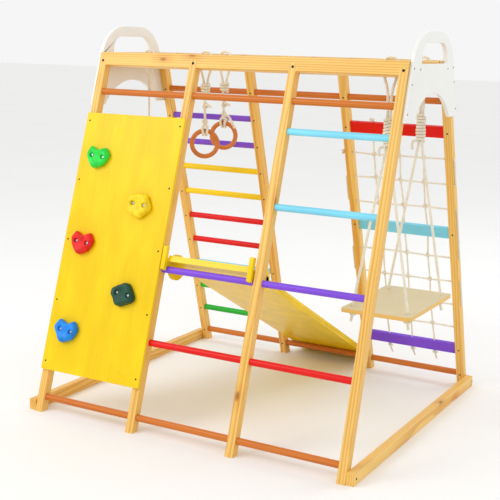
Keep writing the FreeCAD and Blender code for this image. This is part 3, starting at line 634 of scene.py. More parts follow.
def build_rope_rule(make):
    """Three strands round a line, each swept with a circle that knows its own way round."""
    given = make.given
    line = make.node("GeometryNodeMeshToCurve", inputs={"Mesh": given["Geometry"]})
    line = make.node("GeometryNodeResampleCurve", {"mode": "LENGTH"},
                     {"Curve": line, "Length": given["Step"]})
    length = make.node("GeometryNodeSplineParameter", output="Length")
    line = make.node("GeometryNodeStoreNamedAttribute", {"data_type": "FLOAT", "domain": "POINT"},
                     {"Geometry": line, "Name": "along", "Value": length})
    normal = make.node("GeometryNodeInputNormal")
    tangent = make.node("GeometryNodeInputTangent")
    across = make.node("ShaderNodeVectorMath", {"operation": "CROSS_PRODUCT"},
                       {0: tangent, 1: normal})
    strand = given["Rope radius"] * STRAND_SHARE
    circle = make.node("GeometryNodeCurvePrimitiveCircle", {"mode": "RADIUS"},
                       {"Resolution": given["Sides"], "Radius": strand})
    circle = make.node("GeometryNodeStoreNamedAttribute",
                       {"data_type": "FLOAT_VECTOR", "domain": "POINT"},
                       {"Geometry": circle, "Name": "turn",
                        "Value": make.node("GeometryNodeInputPosition")})
    joined = make.tree.nodes.new("GeometryNodeJoinGeometry")
    for number in range(STRANDS):
        angle = length * (2 * math.pi) / given["Lay"] + number * 2 * math.pi / STRANDS
        reach = given["Rope radius"] - strand
        out = make.node("ShaderNodeVectorMath", {"operation": "SCALE"},
                        {0: normal, "Scale": angle.math("COSINE") * reach})
        aside = make.node("ShaderNodeVectorMath", {"operation": "SCALE"},
                          {0: across, "Scale": angle.math("SINE") * reach})
        moved = make.node("GeometryNodeSetPosition", inputs={
            "Geometry": line,
            "Offset": make.node("ShaderNodeVectorMath", {"operation": "ADD"}, {0: out, 1: aside})})
        swept = make.node("GeometryNodeCurveToMesh", inputs={
            "Curve": moved, "Profile Curve": circle, "Fill Caps": True})
        make.tree.links.new(swept.socket, joined.inputs["Geometry"])
    whole = make.node("GeometryNodeRealizeInstances",
                      inputs={"Geometry": Value(make, joined.outputs["Geometry"])})
    whole = make.node("GeometryNodeSetShadeSmooth", inputs={"Geometry": whole})
    whole = make.node("GeometryNodeSetMaterial",
                      inputs={"Geometry": whole, "Material": cotton_finish})
    make.tree.links.new(whole.socket, make.result)


build_rope_rule(rope_rule)
print("rope rule has", len(rope_rule.tree.nodes), "nodes")


# %% [markdown]
# ### From a route to a rope
#
# A rope's route is a short list of points. A NURBS spline with those points as its controls gives
# the smooth line that a real rope takes, and its own evaluated points carry the strands.


# %% Smooth lines and ropes
def smooth_line(route, finer=10):
    """The evaluated points of the NURBS spline that a route controls."""
    data = bpy.data.curves.new("route", "CURVE")
    data.dimensions = "3D"
    data.resolution_u = finer
    spline = data.splines.new("NURBS")
    spline.points.add(len(route) - 1)
    for point, place in zip(spline.points, route):
        point.co = (*place, 1.0)
    spline.order_u = 3
    spline.use_endpoint_u = True
    mesh = settled(link(bpy.data.objects.new("route", data)))
    points = [vertex.co.copy() for vertex in mesh.vertices]
    bpy.data.meshes.remove(mesh)
    return points


def line_length(points):
    """How long a line of points is."""
    return sum((b - a).length for a, b in zip(points, points[1:]))


def rope_piece(name, lines, rope=ROPE, lay=LAY, closed=False, step=FINE["step"],
               sides=FINE["sides"]):
    """One object with a twisted rope along each line of points."""
    vertices, edges = [], []
    for points in lines:
        start = len(vertices)
        vertices += points
        edges += [(start + i, start + i + 1) for i in range(len(points) - 1)]
        if closed:
            edges.append((start + len(points) - 1, start))
    carrier = mesh_object(name, vertices, [], edges)
    return grow(name, carrier, rope_rule, rope_radius=rope / 2, lay=lay, step=step, sides=sides)


def thick_piece(name, lines):
    """The same in the thicker rope of the swing and the rings."""
    return rope_piece(name, lines, THICK_ROPE, THICK_LAY)


def place_piece(piece, body, slot, *replaced):
    """Rides a finished piece on its body and hides the frame parts that it stands for."""
    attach(piece, body)
    if replaced:
        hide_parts(*replaced)
    return piece


print("rope diameters", ROPE, THICK_ROPE)

# %% [markdown]
# ## The climbing rope
#
# It is looped over the first monkey bar, caught in a knot, and hangs free inside the frame with
# three knots to hold and one at its end. It is the only free rope, so it is made first and its
# real length is stated. Rope round a bar stands one rope's radius off the bar's rounded corners.

# %% Round a bar
BAR_PITCH = 160.0
BAR_MIDDLES = [(i - 3.5) * BAR_PITCH for i in range(8)]
BAR_LEVEL = BAR_Z / MM
BAR_WIDE, BAR_HIGH, BAR_ROUND = 32.0, 30.0, 5.0
BAR_REACH = math.hypot(BAR_WIDE / 2 - BAR_ROUND, BAR_HIGH / 2 - BAR_ROUND) + BAR_ROUND
LOOP_CLEAR = 1.1            # between a loop and its bar's corners
SHOULDER = 34.0             # how far below the bar's middle a loop keeps its full width
MERGE = 1248.0              # the height where the two strands of a loop meet
STRAND_CLEAR = 0.3


def strand_gap(rope):
    """From the middle of a doubled rope to the middle of each strand, in millimetres."""
    return rope / MM / 2 + STRAND_CLEAR


def over_bar(x, y, rope):
    """A rope's control points from its left strand, over a monkey bar, to its right strand."""
    loop = BAR_REACH + LOOP_CLEAR + rope / MM / 2
    corner = loop * math.tan(math.pi / 8)
    half = [(-strand_gap(rope), MERGE), (-loop, BAR_LEVEL - SHOULDER),
            (-loop, BAR_LEVEL + corner), (-corner, BAR_LEVEL + loop)]
    points = [(x + px, y, z) for px, z in half]
    return points + [(x - px, y, z) for px, z in reversed(half)]


def metres(points):
    """A route in millimetres from the middle, at its real place."""
    return [at(*point) for point in points]


print("a loop reaches", round(BAR_REACH + LOOP_CLEAR, 2), "mm from its bar's middle")

# %% The climbing rope's route
CLIMB_X = BAR_MIDDLES[0]
CLIMB_END, CLIMB_NOOSE = 400.0, 1193.0
CLIMB_STRAND = strand_gap(ROPE)
climb_route = metres(
    [(CLIMB_X, 0, CLIMB_END), (CLIMB_X, 0, CLIMB_NOOSE - 60),
     (CLIMB_X - CLIMB_STRAND, 0, CLIMB_NOOSE)]
    + over_bar(CLIMB_X, 0, ROPE) + [(CLIMB_X + CLIMB_STRAND, 0, CLIMB_NOOSE)])
climb_line = smooth_line(climb_route, finer=24)
climbing_rope = rope_piece("climbing_rope_cotton", [climb_line])
place_piece(climbing_rope, "climbing_rope", "rope", "climbing_rope")
print("climbing rope", round(line_length(climb_line), 3), "m")

# %% [markdown]
# ## Knots
#
# Pulled tight, an overhand knot is a trefoil: a line that goes twice round while it rises and
# falls three times. One is twisted from the same rope, then a rule sets copies of it on points,
# turned to face where each point says. The climbing rope, net, swing and rings all share it.


# %% One tight knot
def trefoil(radius, rise, steps=48):
    """A trefoil's closed line, flat in XY, centred on the origin."""
    points = []
    for i in range(steps):
        t = 2 * math.pi * i / steps
        points.append(Vector((radius * (math.sin(t) + 2 * math.sin(2 * t)) / 3,
                              radius * (math.cos(t) - 2 * math.cos(2 * t)) / 3,
                              -rise * math.sin(3 * t))))
    return points


knot_pattern = rope_piece("knot_pattern", [trefoil(radius=9.2 * MM, rise=4.0 * MM)],
                          lay=20 * MM, closed=True, **COARSE)
knot_pattern.hide_render = True
print("knot faces:", len(knot_pattern.data.polygons))

# %% The rule that sets copies on points
copy_rule = rule("copies on points", {
    "Pattern": ("Object", None),
    "Finish": ("Material", None),
    "Size": ("Float", 1.0),
    "Spin": ("Float", 2 * math.pi),
    "Seed": ("Int", 4),
})


def build_copy_rule(make):
    """Copies of a pattern, its Z along each point's facing, spun at random."""
    given = make.given
    pattern = make.node("GeometryNodeObjectInfo", {"transform_space": "ORIGINAL"},
                        {"Object": given["Pattern"]}, output="Geometry")
    facing_way = make.node("GeometryNodeInputNamedAttribute", {"data_type": "FLOAT_VECTOR"},
                           {"Name": "facing"})
    aimed = make.node("FunctionNodeAlignRotationToVector", {"axis": "Z"}, {"Vector": facing_way})
    chance = make.node("FunctionNodeRandomValue", {"data_type": "FLOAT"},
                       {"Min": 0.0, "Max": given["Spin"], "Seed": given["Seed"]}, output=1)
    spin = make.node("FunctionNodeAxisAngleToRotation", inputs={"Axis": (0, 0, 1),
                                                                "Angle": chance})
    turned = make.node("FunctionNodeRotateRotation", {"rotation_space": "LOCAL"},
                       {"Rotation": aimed, "Rotate By": spin})
    copies = make.node("GeometryNodeInstanceOnPoints", inputs={
        "Points": given["Geometry"], "Instance": pattern, "Rotation": turned,
        "Scale": given["Size"]})
    whole = make.node("GeometryNodeRealizeInstances", inputs={"Geometry": copies})
    whole = make.node("GeometryNodeSetMaterial",
                      inputs={"Geometry": whole, "Material": given["Finish"]})
    make.tree.links.new(whole.socket, make.result)


build_copy_rule(copy_rule)
print("copying rule has", len(copy_rule.tree.nodes), "nodes")


def copies(name, pattern, finish, spots, size=1.0, seed=4):
    """One object of copies at (place, facing) spots."""
    carrier = mesh_object(name, [place for place, _ in spots], [])
    ways = carrier.data.attributes.new("facing", "FLOAT_VECTOR", "POINT")
    ways.data.foreach_set("vector", [value for _, way in spots for value in way])
    return grow(name, carrier, copy_rule, pattern=pattern, finish=finish, size=size, seed=seed,
                spin=2 * math.pi)


# %% Knots of the climbing rope
GRIP_HEIGHTS = (950, 740, 530)
climb_spots = [(at(CLIMB_X, 0, z), (0.35, -0.9, 0.25)) for z in (*GRIP_HEIGHTS, CLIMB_END)]
climb_knots = copies("climbing_rope_grip_knots", knot_pattern, cotton_finish, climb_spots,
                     size=1.12)
place_piece(climb_knots, "climbing_rope", "rope", "climbing_rope_knots")
noose = copies("climbing_rope_noose_knot", knot_pattern, cotton_finish,
               [(at(CLIMB_X, 0, CLIMB_NOOSE), (0.2, -0.9, 0.3))], size=1.05, seed=9)
place_piece(noose, "climbing_rope", "rope", "climbing_rope_noose")
tuple(at(CLIMB_X + CLIMB_STRAND, 0, CLIMB_NOOSE))
line_length(climb_line)
[tuple(point) for point in climb_line]
print("knots on the climbing rope:", len(climb_spots))

# %% [markdown]
# ## The swing's ropes
#
# Each of the two ropes comes up through the seat, is bound to its other half in a long wound
# coil, splits, goes over the last bar and comes down again. Ropes that carry a seat are straight,
# so the route has a point just before each corner to keep the bend short. The coil is a rope of
# its own: a helix whose turns lie a rope's width apart, with small seeded unevenness.

# %% Swing ropes
SWING_X = BAR_MIDDLES[7]
SEAT_LOW, SEAT_TOP = (corner.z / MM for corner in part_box("swing_seat"))
HOLE_X, HOLE_Y = 105.0, 170.0
SWING_Y = 160.0
SWING_COIL = (1045.0, 1160.0)
COIL_RADIUS, COIL_PITCH = 14.3, 11.6
COIL_INSET, COIL_ENDS = 8, 12   # kept free at each end, and height that no turn fills
TURN_STEPS = 12
SWING_STRAND = strand_gap(THICK_ROPE)


def between(a, b, share):
    """A point on the straight line from a to b."""
    return tuple(p + (q - p) * share for p, q in zip(a, b))


def swing_route(sign):
    """Up one strand, over the bar and down the other, for the front or the rear rope."""
    low, high = SWING_COIL
    half = [(-HOLE_X, sign * HOLE_Y, SEAT_LOW - 8), (-HOLE_X, sign * HOLE_Y, SEAT_TOP + 6),
            (-SWING_STRAND, sign * SWING_Y, low), (-SWING_STRAND, sign * SWING_Y, high)]
    strand = [half[0], half[1], between(half[1], half[2], 0.06), between(half[1], half[2], 0.95),
              half[2], half[3]]
    left = [(SWING_X + x, y, z) for x, y, z in strand]
    right = [(SWING_X - x, y, z) for x, y, z in reversed(strand)]
    return metres(left + over_bar(SWING_X, sign * SWING_Y, THICK_ROPE) + right)


def coil_line(x, y, low, high, seed):
    """A wound coil: one turn for every rope's width of height."""
    chance = random.Random(seed)
    turns = (high - low - COIL_ENDS) / COIL_PITCH
    steps = int(turns * TURN_STEPS)
    points = []
    for i in range(steps + 1):
        turn = 2 * math.pi * turns * i / steps
        swell = 0.9 * math.sin(turn / 5.0 + seed) + chance.uniform(-0.35, 0.35)
        slope = 2.2 * math.sin(turn + seed)
        z = low + COIL_INSET + (high - low - 2 * COIL_INSET) * i / steps + slope
        points.append((x + (COIL_RADIUS + swell) * math.cos(turn),
                       y + (COIL_RADIUS + swell) * math.sin(turn), z))
    return smooth_line(metres(points), finer=3)


for side, sign in (("front", -1), ("rear", 1)):
    swing_line = smooth_line(swing_route(sign))
    place_piece(thick_piece(f"swing_rope_{side}_cotton", [swing_line]), "swing", "rope",
                f"swing_rope_{side}")
    print(side, "swing rope", round(line_length(swing_line), 3), "m")

# %% Swing coils, each with the loose end of its rope
COIL_TAIL = ((0, 0, 0), (-9, -6, 4), (-15, -7, -12), (-13, -5, -30))


def strung(foot, offsets):
    """A short rope's line through points given from its foot, in millimetres."""
    return smooth_line(metres([tuple(f + o for f, o in zip(foot, offset)) for offset in offsets]))


swing_coils = [coil_line(SWING_X, sign * SWING_Y, *SWING_COIL, 3 + sign) for sign in (-1, 1)]
swing_coils += [strung((SWING_X - 14, sign * SWING_Y - 4, SWING_COIL[0] + 6), COIL_TAIL)
                for sign in (-1, 1)]
place_piece(thick_piece("swing_coils", swing_coils), "swing", "rope")
print("lines in the coils:", len(swing_coils))

# %% Knots and tails under the seat
KNOT_BELOW = 11.5           # from the seat's underside to a knot's middle
seat_spots, seat_tails = [], []
for sx in (-1, 1):
    for sy in (-1, 1):
        place = (SWING_X + sx * HOLE_X, sy * HOLE_Y, SEAT_LOW - KNOT_BELOW)
        seat_spots.append((at(*place), (0, 0, 1)))
        seat_tails.append(strung(place, ((0, 0, 0), (2 * sx, 0, -14), (6 * sx, 2 * sy, -30))))
seat_knots = copies("swing_seat_knots", knot_pattern, cotton_finish, seat_spots, size=1.25)
place_piece(seat_knots, "swing", "rope", "swing_knots")
place_piece(thick_piece("swing_rope_tails", seat_tails), "swing", "rope")
print("knots under the seat:", len(seat_spots))

# %% [markdown]
# ## The gym rings' ropes
#
# A ring hangs from a rope that loops over its bar, is coiled and knotted below, and then goes
# twice round the ring and back over itself, which sailors call a hitch. The height of the ring
# comes from its node in the frame; where it hangs on the bar and how it is turned are set here.

# %% Ring ropes
RING_R, RING_SECTION = 50.0, 9.0
THICK_R = THICK_ROPE / MM / 2
HITCH_CLEAR = 1.8           # room for the ring to tilt in its hitch
WRAP = RING_SECTION + THICK_R + HITCH_CLEAR
RING_COIL = (1200.0, 1250.0)
RING_KNOT = 1156.0
RING_X = BAR_MIDDLES[2]
RINGS = {"front": (-80.0, 32.0), "rear": (63.0, 14.0)}      # y, and degrees turned
HITCH_STEP = math.radians(9.5)
WRAP_TURN = (-40, 330, 37)  # a wrap's first and last place round the ring and its step, degrees
RING_STRAND = strand_gap(THICK_ROPE)


def hitch_route(centre, turn):
    """Down from the rope, once round the ring on one side, across, and round the other side."""
    flat = math.radians(turn)
    axis = Vector((-math.sin(flat), math.cos(flat), 0))
    along = Vector((math.cos(flat), math.sin(flat), 0))

    def wrap(step, angle):
        out = Vector((0, 0, 1)) * math.cos(step) + along * math.sin(step)
        return centre + out * (RING_R + WRAP * math.cos(angle)) + axis * WRAP * math.sin(angle)

    knot = centre + Vector((0, 0, RING_R + WRAP + 16))
    start, end, step = WRAP_TURN
    places = [math.radians(a) for a in range(start, end + 1, step)]
    first = [wrap(-HITCH_STEP, a) for a in places]
    second = [wrap(HITCH_STEP, a) for a in reversed(places)]
    across = [centre + Vector((0, 0, RING_R + WRAP + 5)) + axis * (-WRAP * 0.75) + along * s
              for s in (-6, 6)]
    points = [knot - along * 3, knot - along * 4 + Vector((0, 0, -8))]
    points += first + across + second + [knot + along * 4 + Vector((0, 0, -8)), knot + along * 3]
    return [tuple(point) for point in points]


for side, (ring_y, turn) in RINGS.items():
    low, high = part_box(f"gym_ring_{side}")
    centre = Vector((RING_X, ring_y, (low.z + high.z) / 2 / MM))
    top = centre.z + RING_R + WRAP + THICK_R
    route = [(RING_X, ring_y, top), (RING_X, ring_y, RING_KNOT - 40),
             (RING_X - RING_STRAND, ring_y, RING_COIL[0])]
    route += over_bar(RING_X, ring_y, THICK_ROPE)
    route.append((RING_X + RING_STRAND, ring_y, RING_COIL[0] + 8))
    rope = thick_piece(f"ring_rope_{side}_cotton", [smooth_line(metres(route))])
    place_piece(rope, f"{side}_ring_rope", "rope", f"ring_rope_{side}")
    lines = [coil_line(RING_X, ring_y, *RING_COIL, 11),
             smooth_line(metres(hitch_route(centre, turn))),
             strung((RING_X, ring_y, RING_KNOT), ((0, 0, 4), (14, -6, 7), (32, -10, -4)))]
    if side == "rear":
        lines.append(strung((RING_X, ring_y, top), ((4, 0, 10), (26, -12, 14), (46, -16, -14),
                                                    (62, -18, -38))))
    bound = thick_piece(f"ring_hitch_{side}", lines)
    place_piece(bound, f"{side}_ring_rope", "rope", f"ring_knots_{side}")
    tied = copies(f"ring_rope_knots_{side}", knot_pattern, cotton_finish,
                  [(at(RING_X, ring_y, RING_KNOT), (0.3, -0.9, 0.1)),
                   (at(RING_X, ring_y, top + 14), (0.2, -0.3, 0.9))], size=1.15, seed=2)
    place_piece(tied, f"{side}_ring_rope", "rope")
print("rings hung:", list(RINGS))

# %% [markdown]
# ## The net
#
# Three ropes hang through holes in the painted boards and seven rows run across through the
# posts, with a knot at each crossing. Real nets are never quite square, so each crossing is moved
# a little, with a fixed seed, and both ropes are led through it. Outside the posts, on one side
# and then the other, the rope steps down to the next hole. Each hanging rope has a knot at its
# top, and at its foot a knot with a short tail.

# %% Net: crossings
BAY, THIRD_POST = 420.0, 210.0
POST_HALF = 16              # half a post's width
NET_LOW_Z, NET_STEP = 164.5, 102.0
NET_ROWS, NET_MIDDLE = 9, 5
COLUMNS = [THIRD_POST + share * BAY for share in (0.26, 0.505, 0.74)]
MID_DEPTH = POST_DEEP / 2
ROW_DEPTH = MID_DEPTH + 8.4 * MM
BOARD_HALF = 23 * MM
STEP_OUT = 5.4              # from the end post's face to the middle of the rope outside it


def row_height(row):
    """How far up the rear face a row of the net lies, in metres."""
    z = (NET_LOW_Z + row * NET_STEP) * MM
    return (z + MID_DEPTH * math.sin(LEAN)) / math.cos(LEAN)


def on_net(x, depth, a):
    """A point of the net, x in millimetres."""
    return on_side(x * MM, depth, a, "rear")


rows = [row for row in range(1, NET_ROWS) if row != NET_MIDDLE]
uneven = random.Random(21)
shift = {(row, i): (uneven.uniform(-5, 5), uneven.uniform(-4, 4) * MM)
         for row in rows for i in range(3)}
print("crossings:", len(shift))

# %% Net: rows, and the steps between them outside the posts
net_lines = []
left_face, right_face = THIRD_POST - POST_HALF, THIRD_POST + BAY + POST_HALF
for row in rows:
    a = row_height(row)
    points = [on_net(left_face - 4, ROW_DEPTH, a), on_net(left_face + 34, ROW_DEPTH, a)]
    for i, x in enumerate(COLUMNS):
        dx, da = shift[row, i]
        points += [on_net(x + dx - 16, ROW_DEPTH - 1 * MM, a + da),
                   on_net(x + dx + 16, ROW_DEPTH - 1 * MM, a + da)]
    points += [on_net(right_face - 34, ROW_DEPTH, a), on_net(right_face, ROW_DEPTH, a)]
    net_lines.append(smooth_line(points, finer=4))
for i, (upper, lower) in enumerate(zip(rows[:0:-1], rows[-2::-1])):
    face, out = ((right_face, 1), (left_face, -1))[i % 2]
    high, low = row_height(upper), row_height(lower)
    beyond = face + STEP_OUT * out
    turn = [(face, high), (beyond, high), (beyond, high - 9 * MM), (beyond, low + 9 * MM),
            (beyond, low), (face, low)]
    net_lines.append(smooth_line([on_net(x, ROW_DEPTH, a) for x, a in turn], finer=4))
print("rows and their steps:", len(net_lines))

# %% Net: hanging ropes
top_end = row_height(NET_ROWS) + BOARD_HALF + 10 * MM
low_end = row_height(0) - BOARD_HALF - 14 * MM
for i, x in enumerate(COLUMNS):
    lean_out = uneven.uniform(-7, 7)
    points = [on_net(x + lean_out, MID_DEPTH - 3 * MM, low_end - 34 * MM),
              on_net(x, MID_DEPTH, low_end - 12 * MM)]
    for row in range(NET_ROWS + 1):
        a = row_height(row)
        if (row, i) in shift:
            dx, da = shift[row, i]
            points += [on_net(x + dx, MID_DEPTH + 2 * MM, a + da - 14 * MM),
                       on_net(x + dx, MID_DEPTH + 2 * MM, a + da + 14 * MM)]
        else:
            points += [on_net(x, MID_DEPTH, a - BOARD_HALF - 3 * MM),
                       on_net(x, MID_DEPTH, a + BOARD_HALF + 3 * MM)]
    points.append(on_net(x, MID_DEPTH, top_end))
    net_lines.append(smooth_line(points, finer=4))
net = rope_piece("net_cotton", net_lines, **COARSE)
place_piece(net, "root", "rope", "net_ropes")
print("net ropes:", len(net_lines), "faces:", len(net.data.polygons))

# %% Net: knots
out_way = facing("rear")
spots = [(on_net(COLUMNS[i] + dx, MID_DEPTH + 4 * MM, row_height(row) + da), out_way)
         for (row, i), (dx, da) in shift.items()]
for x in COLUMNS:
    spots.append((on_net(x, MID_DEPTH, low_end), (0.3, 0.8, 0.3)))
    spots.append((on_net(x, MID_DEPTH, top_end - 1 * MM), (0.1, 0.3, 0.9)))
for row in (rows[0], rows[-1]):
    spots.append((on_net(left_face - 10, ROW_DEPTH, row_height(row)), (1, 0.2, 0.1)))
net_knots = copies("net_knots_cotton", knot_pattern, cotton_finish, spots, size=0.94, seed=7)
place_piece(net_knots, "root", "rope", "net_knots")
print("net knots:", len(spots), "faces:", len(net_knots.data.polygons))

# %% [markdown]
# ## Screws and bolts
#
# Screws are found in the frame itself: each loose part of the screw node has a long axis, and its
# wider end is the head. One head with its cross is cut by a Boolean, and the copying rule puts
# it at every place. Only heads show, as the shanks are inside the wood.


# %% Finding heads in the frame
WELD = 1e-6
END_SHARE = 0.8             # a head is looked for in the outer fifth of each half


def heads_of(node):
    """(place, outward direction) of the wider end of every loose part of a node."""
    work = bmesh.new()
    work.from_mesh(nodes[node].data)
    bmesh.ops.remove_doubles(work, verts=work.verts, dist=WELD)
    unseen, found = set(work.verts), []
    while unseen:
        queue = [unseen.pop()]
        island = []
        while queue:
            vertex = queue.pop()
            island.append(vertex.co[:])
            for edge in vertex.link_edges:
                other = edge.other_vert(vertex)
                if other in unseen:
                    unseen.remove(other)
                    queue.append(other)
        found.append(head_of(np.array(island)))
    work.free()
    return sorted(found, key=lambda spot: tuple(round(c, 4) for c in spot[0]))


def head_of(points):
    """Which end of a turned part is the wider one, and which way it looks."""
    centre = (points.max(0) + points.min(0)) / 2
    away = points - points.mean(0)
    axis = np.linalg.svd(away, full_matrices=False)[2][0]
    run = (points - centre) @ axis
    spread = np.linalg.norm(points - centre - np.outer(run, axis), axis=1)
    if spread[run > run.max() * END_SHARE].max() < spread[run < run.min() * END_SHARE].max():
        axis, run = -axis, -run
    tip = points[run > run.max() - 1e-5].mean(0)
    return Vector(tip), Vector(axis)


print("kinds of fastener in the frame:", sum("screws" in name or "bolts" in name for name in nodes))


# %% Turned and cut solids
def skin(work, rings):
    """Faces between neighbouring rings of points; a ring of one point is a pole."""
    sides = max(len(ring) for ring in rings)
    for lower, upper in zip(rings, rings[1:]):
        for i in range(sides):
            j = (i + 1) % sides
            corners = [lower[i % len(lower)], lower[j % len(lower)],
                       upper[j % len(upper)], upper[i % len(upper)]]
            work.faces.new(list(dict.fromkeys(corners)))


def solid(name, work):
    """An object from a closed bmesh, with its faces turned outwards."""
    bmesh.ops.recalc_face_normals(work, faces=work.faces)
    mesh = bpy.data.meshes.new(name)
    work.to_mesh(mesh)
    work.free()
    return link(bpy.data.objects.new(name, mesh))


def turned_disc(name, profile, sides=24):
    """A closed turned solid from (radius, height) pairs, from its axis out and back."""
    work = bmesh.new()
    rings = []
    for radius, height in profile:
        if radius == 0:
            rings.append([work.verts.new((0, 0, height))])
        else:
            rings.append([work.verts.new((radius * math.cos(2 * math.pi * i / sides),
                                          radius * math.sin(2 * math.pi * i / sides), height))
                          for i in range(sides)])
    skin(work, rings)
    return solid(name, work)


def cut_by(item, cutters):
    """Takes cutters out of a piece and returns the plain result."""
    for cutter in cutters:
        modifier = item.modifiers.new("cut", "BOOLEAN")
        modifier.object = cutter
        modifier.operation = "DIFFERENCE"
        modifier.solver = "EXACT"
    name = item.name
    result = link(bpy.data.objects.new(name, settled(item)))
    for cutter in cutters:
        bpy.data.objects.remove(cutter)
    result.hide_render = True
    return result


def prism(name, corners, low, high):
    """A flat outline pushed up from low to high."""
    count = len(corners)
    vertices = [(x, y, z) for z in (low, high) for x, y in corners]
    sides = [(i, (i + 1) % count, count + (i + 1) % count, count + i) for i in range(count)]
    return mesh_object(name, vertices, [tuple(reversed(range(count))),
                                        tuple(range(count, 2 * count))] + sides)


def bar_outline(long, wide):
    return [(-long, -wide), (long, -wide), (long, wide), (-long, wide)]


print("tools for turned and cut solids are ready")

# %% A screw's head with its cross, a bolt's with its hexagon
SCREW_R, BOLT_R = 3.6 * MM, 5.0 * MM
HEX_R = 2.6 * MM
screw_head = cut_by(
    turned_disc("screw_head", [(0, -1.2 * MM), (2.4 * MM, -1.2 * MM), (SCREW_R, -0.2 * MM),
                               (SCREW_R, 0.1 * MM), (2.6 * MM, 0.45 * MM), (0, 0.6 * MM)]),
    [prism("slot_a", bar_outline(2.1 * MM, 0.45 * MM), -0.9 * MM, 2 * MM),
     prism("slot_b", bar_outline(0.451 * MM, 2.11 * MM), -0.91 * MM, 2.1 * MM)])
hexagon = [(HEX_R * math.cos(math.pi * i / 3), HEX_R * math.sin(math.pi * i / 3))
           for i in range(6)]
bolt_head = cut_by(
    turned_disc("bolt_head", [(0, -1.4 * MM), (BOLT_R, -1.4 * MM), (BOLT_R, 0.7 * MM),
                              (4.3 * MM, 1.3 * MM), (3.2 * MM, 1.5 * MM), (0, 1.5 * MM)], 32),
    [prism("hex_hole", hexagon, -0.6 * MM, 3 * MM)])
print("screw head faces:", len(screw_head.data.polygons))

# %% Setting the heads in place
screw_places = []
sunk = {screw_head: 0.5 * MM, bolt_head: 1.4 * MM}
for name, node, pattern, body, finish, slot in (
        ("wood_screw_heads", "wood_screws", screw_head, "root", black_steel, "black_steel"),
        ("slide_screw_heads", "slide_screws", screw_head, "slide", black_steel, "black_steel"),
        ("post_bolt_heads", "frame_bolts", bolt_head, "root", black_steel, "black_steel"),
        ("hold_bolt_heads", "hold_bolts", bolt_head, "root", zinc, "zinc_steel")):
    found = heads_of(node)
    screw_places += [place for place, _ in found]
    spots = [(place - way * sunk[pattern], way) for place, way in found]
    piece = copies(name, pattern, finish, spots, seed=5)
    place_piece(piece, body, slot, node)
    print(name, len(found), "faces:", len(piece.data.polygons))

# %% [markdown]
# ## Boards with soft edges
#
# The frame's boards come with sharp corners, and a sharp corner catches no light. A copy of the
# piece has its double points merged and its flat triangles joined, and a Bevel modifier takes
# a millimetre or two off each edge, as a sanding block would. Edges round a screw hole are left
# alone, and the broad faces are shaded flat so that only the rounded edges bend the light.


# %% Sanded copies
SMALL_HOLE = 7.5 * MM       # an edge nearer than this to a screw is part of its hole
FLAT, SHARP = math.radians(1.0), math.radians(40)
SAME_WAY = 0.9999           # the cosine above which two faces look the same way
SANDING_STEPS = 3


def slot_of(node):
    """The material slot that the frame's record gives a piece."""
    return next(part["material_slot"] for part in frame["record"]["subparts"]
                if part["node"] == node)


def broad_ways(work):
    """The directions of a piece's broad faces: those with more than a fortieth of its area."""
    whole = sum(face.calc_area() for face in work.faces)
    return [face.normal.copy() for face in work.faces if face.calc_area() > whole / 40]


def sanded(node, width, material):
    """A copy of a frame piece with rounded edges, which stands for the piece."""
    mesh = nodes[node].data.copy()
    mesh.name = f"{node}_sanded"
    work = bmesh.new()
    work.from_mesh(mesh)
    bmesh.ops.remove_doubles(work, verts=work.verts, dist=WELD)
    bmesh.ops.dissolve_limit(work, angle_limit=FLAT, verts=work.verts, edges=work.edges)
    ways = broad_ways(work)
    weight = work.edges.layers.float.new("bevel_weight_edge")
    for edge in work.edges:
        middle = (edge.verts[0].co + edge.verts[1].co) / 2
        free = all((middle - place).length > SMALL_HOLE for place in screw_places)
        sharp = len(edge.link_faces) == 2 and edge.calc_face_angle(0) > SHARP
        edge[weight] = 1.0 if free and sharp else 0.0
    work.to_mesh(mesh)
    work.free()
    item = link(bpy.data.objects.new(node, mesh))
    bevel = item.modifiers.new("sanding", "BEVEL")
    bevel.width = width
    bevel.segments = SANDING_STEPS
    bevel.limit_method = "WEIGHT"
    bevel.use_clamp_overlap = False
    final = settled(item)
    for polygon in final.polygons:
        polygon.use_smooth = all(polygon.normal.dot(way) < SAME_WAY for way in ways)
    final.materials.clear()
    final.materials.append(material)
    piece = link(bpy.data.objects.new(f"{node}_sanded", final))
    return place_piece(piece, nodes[node]["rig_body"], slot_of(node), node)


for side in ("left", "right"):
    sanded(f"end_panel_{side}", 2.0 * MM, panel_coat)
sanded("climbing_board", 1.6 * MM, board_paint)
sanded("swing_seat", 1.6 * MM, ply)
sanded("slide_bed", 1.4 * MM, slide_paint)
sanded("slide_hooks", 2.4 * MM, slide_paint)
dress("slide_rails", slide_paint)
dress("slide_cross_bar", slide_paint)
print("sanded pieces ride in place")

# %% [markdown]
# ## Climbing holds
#
# A hold is a lump of cast resin: a heart or a clover in outline, undercut at the wall, fullest
# halfway out, and dished on top for the fingers. Rings of the outline, each at its height, make the
# cage, a Subdivision Surface rounds it, and a little fixed noise gives it the look of rock. Round
# each bolt the surface is sunk into a well.


# %% Outlines
def heart(width, height):
    """A hold with two peaks and a point below."""
    shape = [(-0.30, 0.47), (-0.47, 0.15), (-0.42, -0.08), (-0.14, -0.50), (0.30, -0.32),
             (0.50, 0.12), (0.30, 0.44), (0.02, 0.26)]
    return [(x * width * MM, a * height * MM) for x, a in shape]


def lobed(width, height, lobes, depth, turn):
    """A hold with soft lobes."""
    points = []
    for i in range(4 * lobes):
        angle = 2 * math.pi * i / (4 * lobes)
        reach = 0.5 * (1 - depth * (0.5 - 0.5 * math.cos(lobes * angle + turn)))
        points.append((width * MM * reach * math.cos(angle),
                       height * MM * reach * math.sin(angle)))
    return points


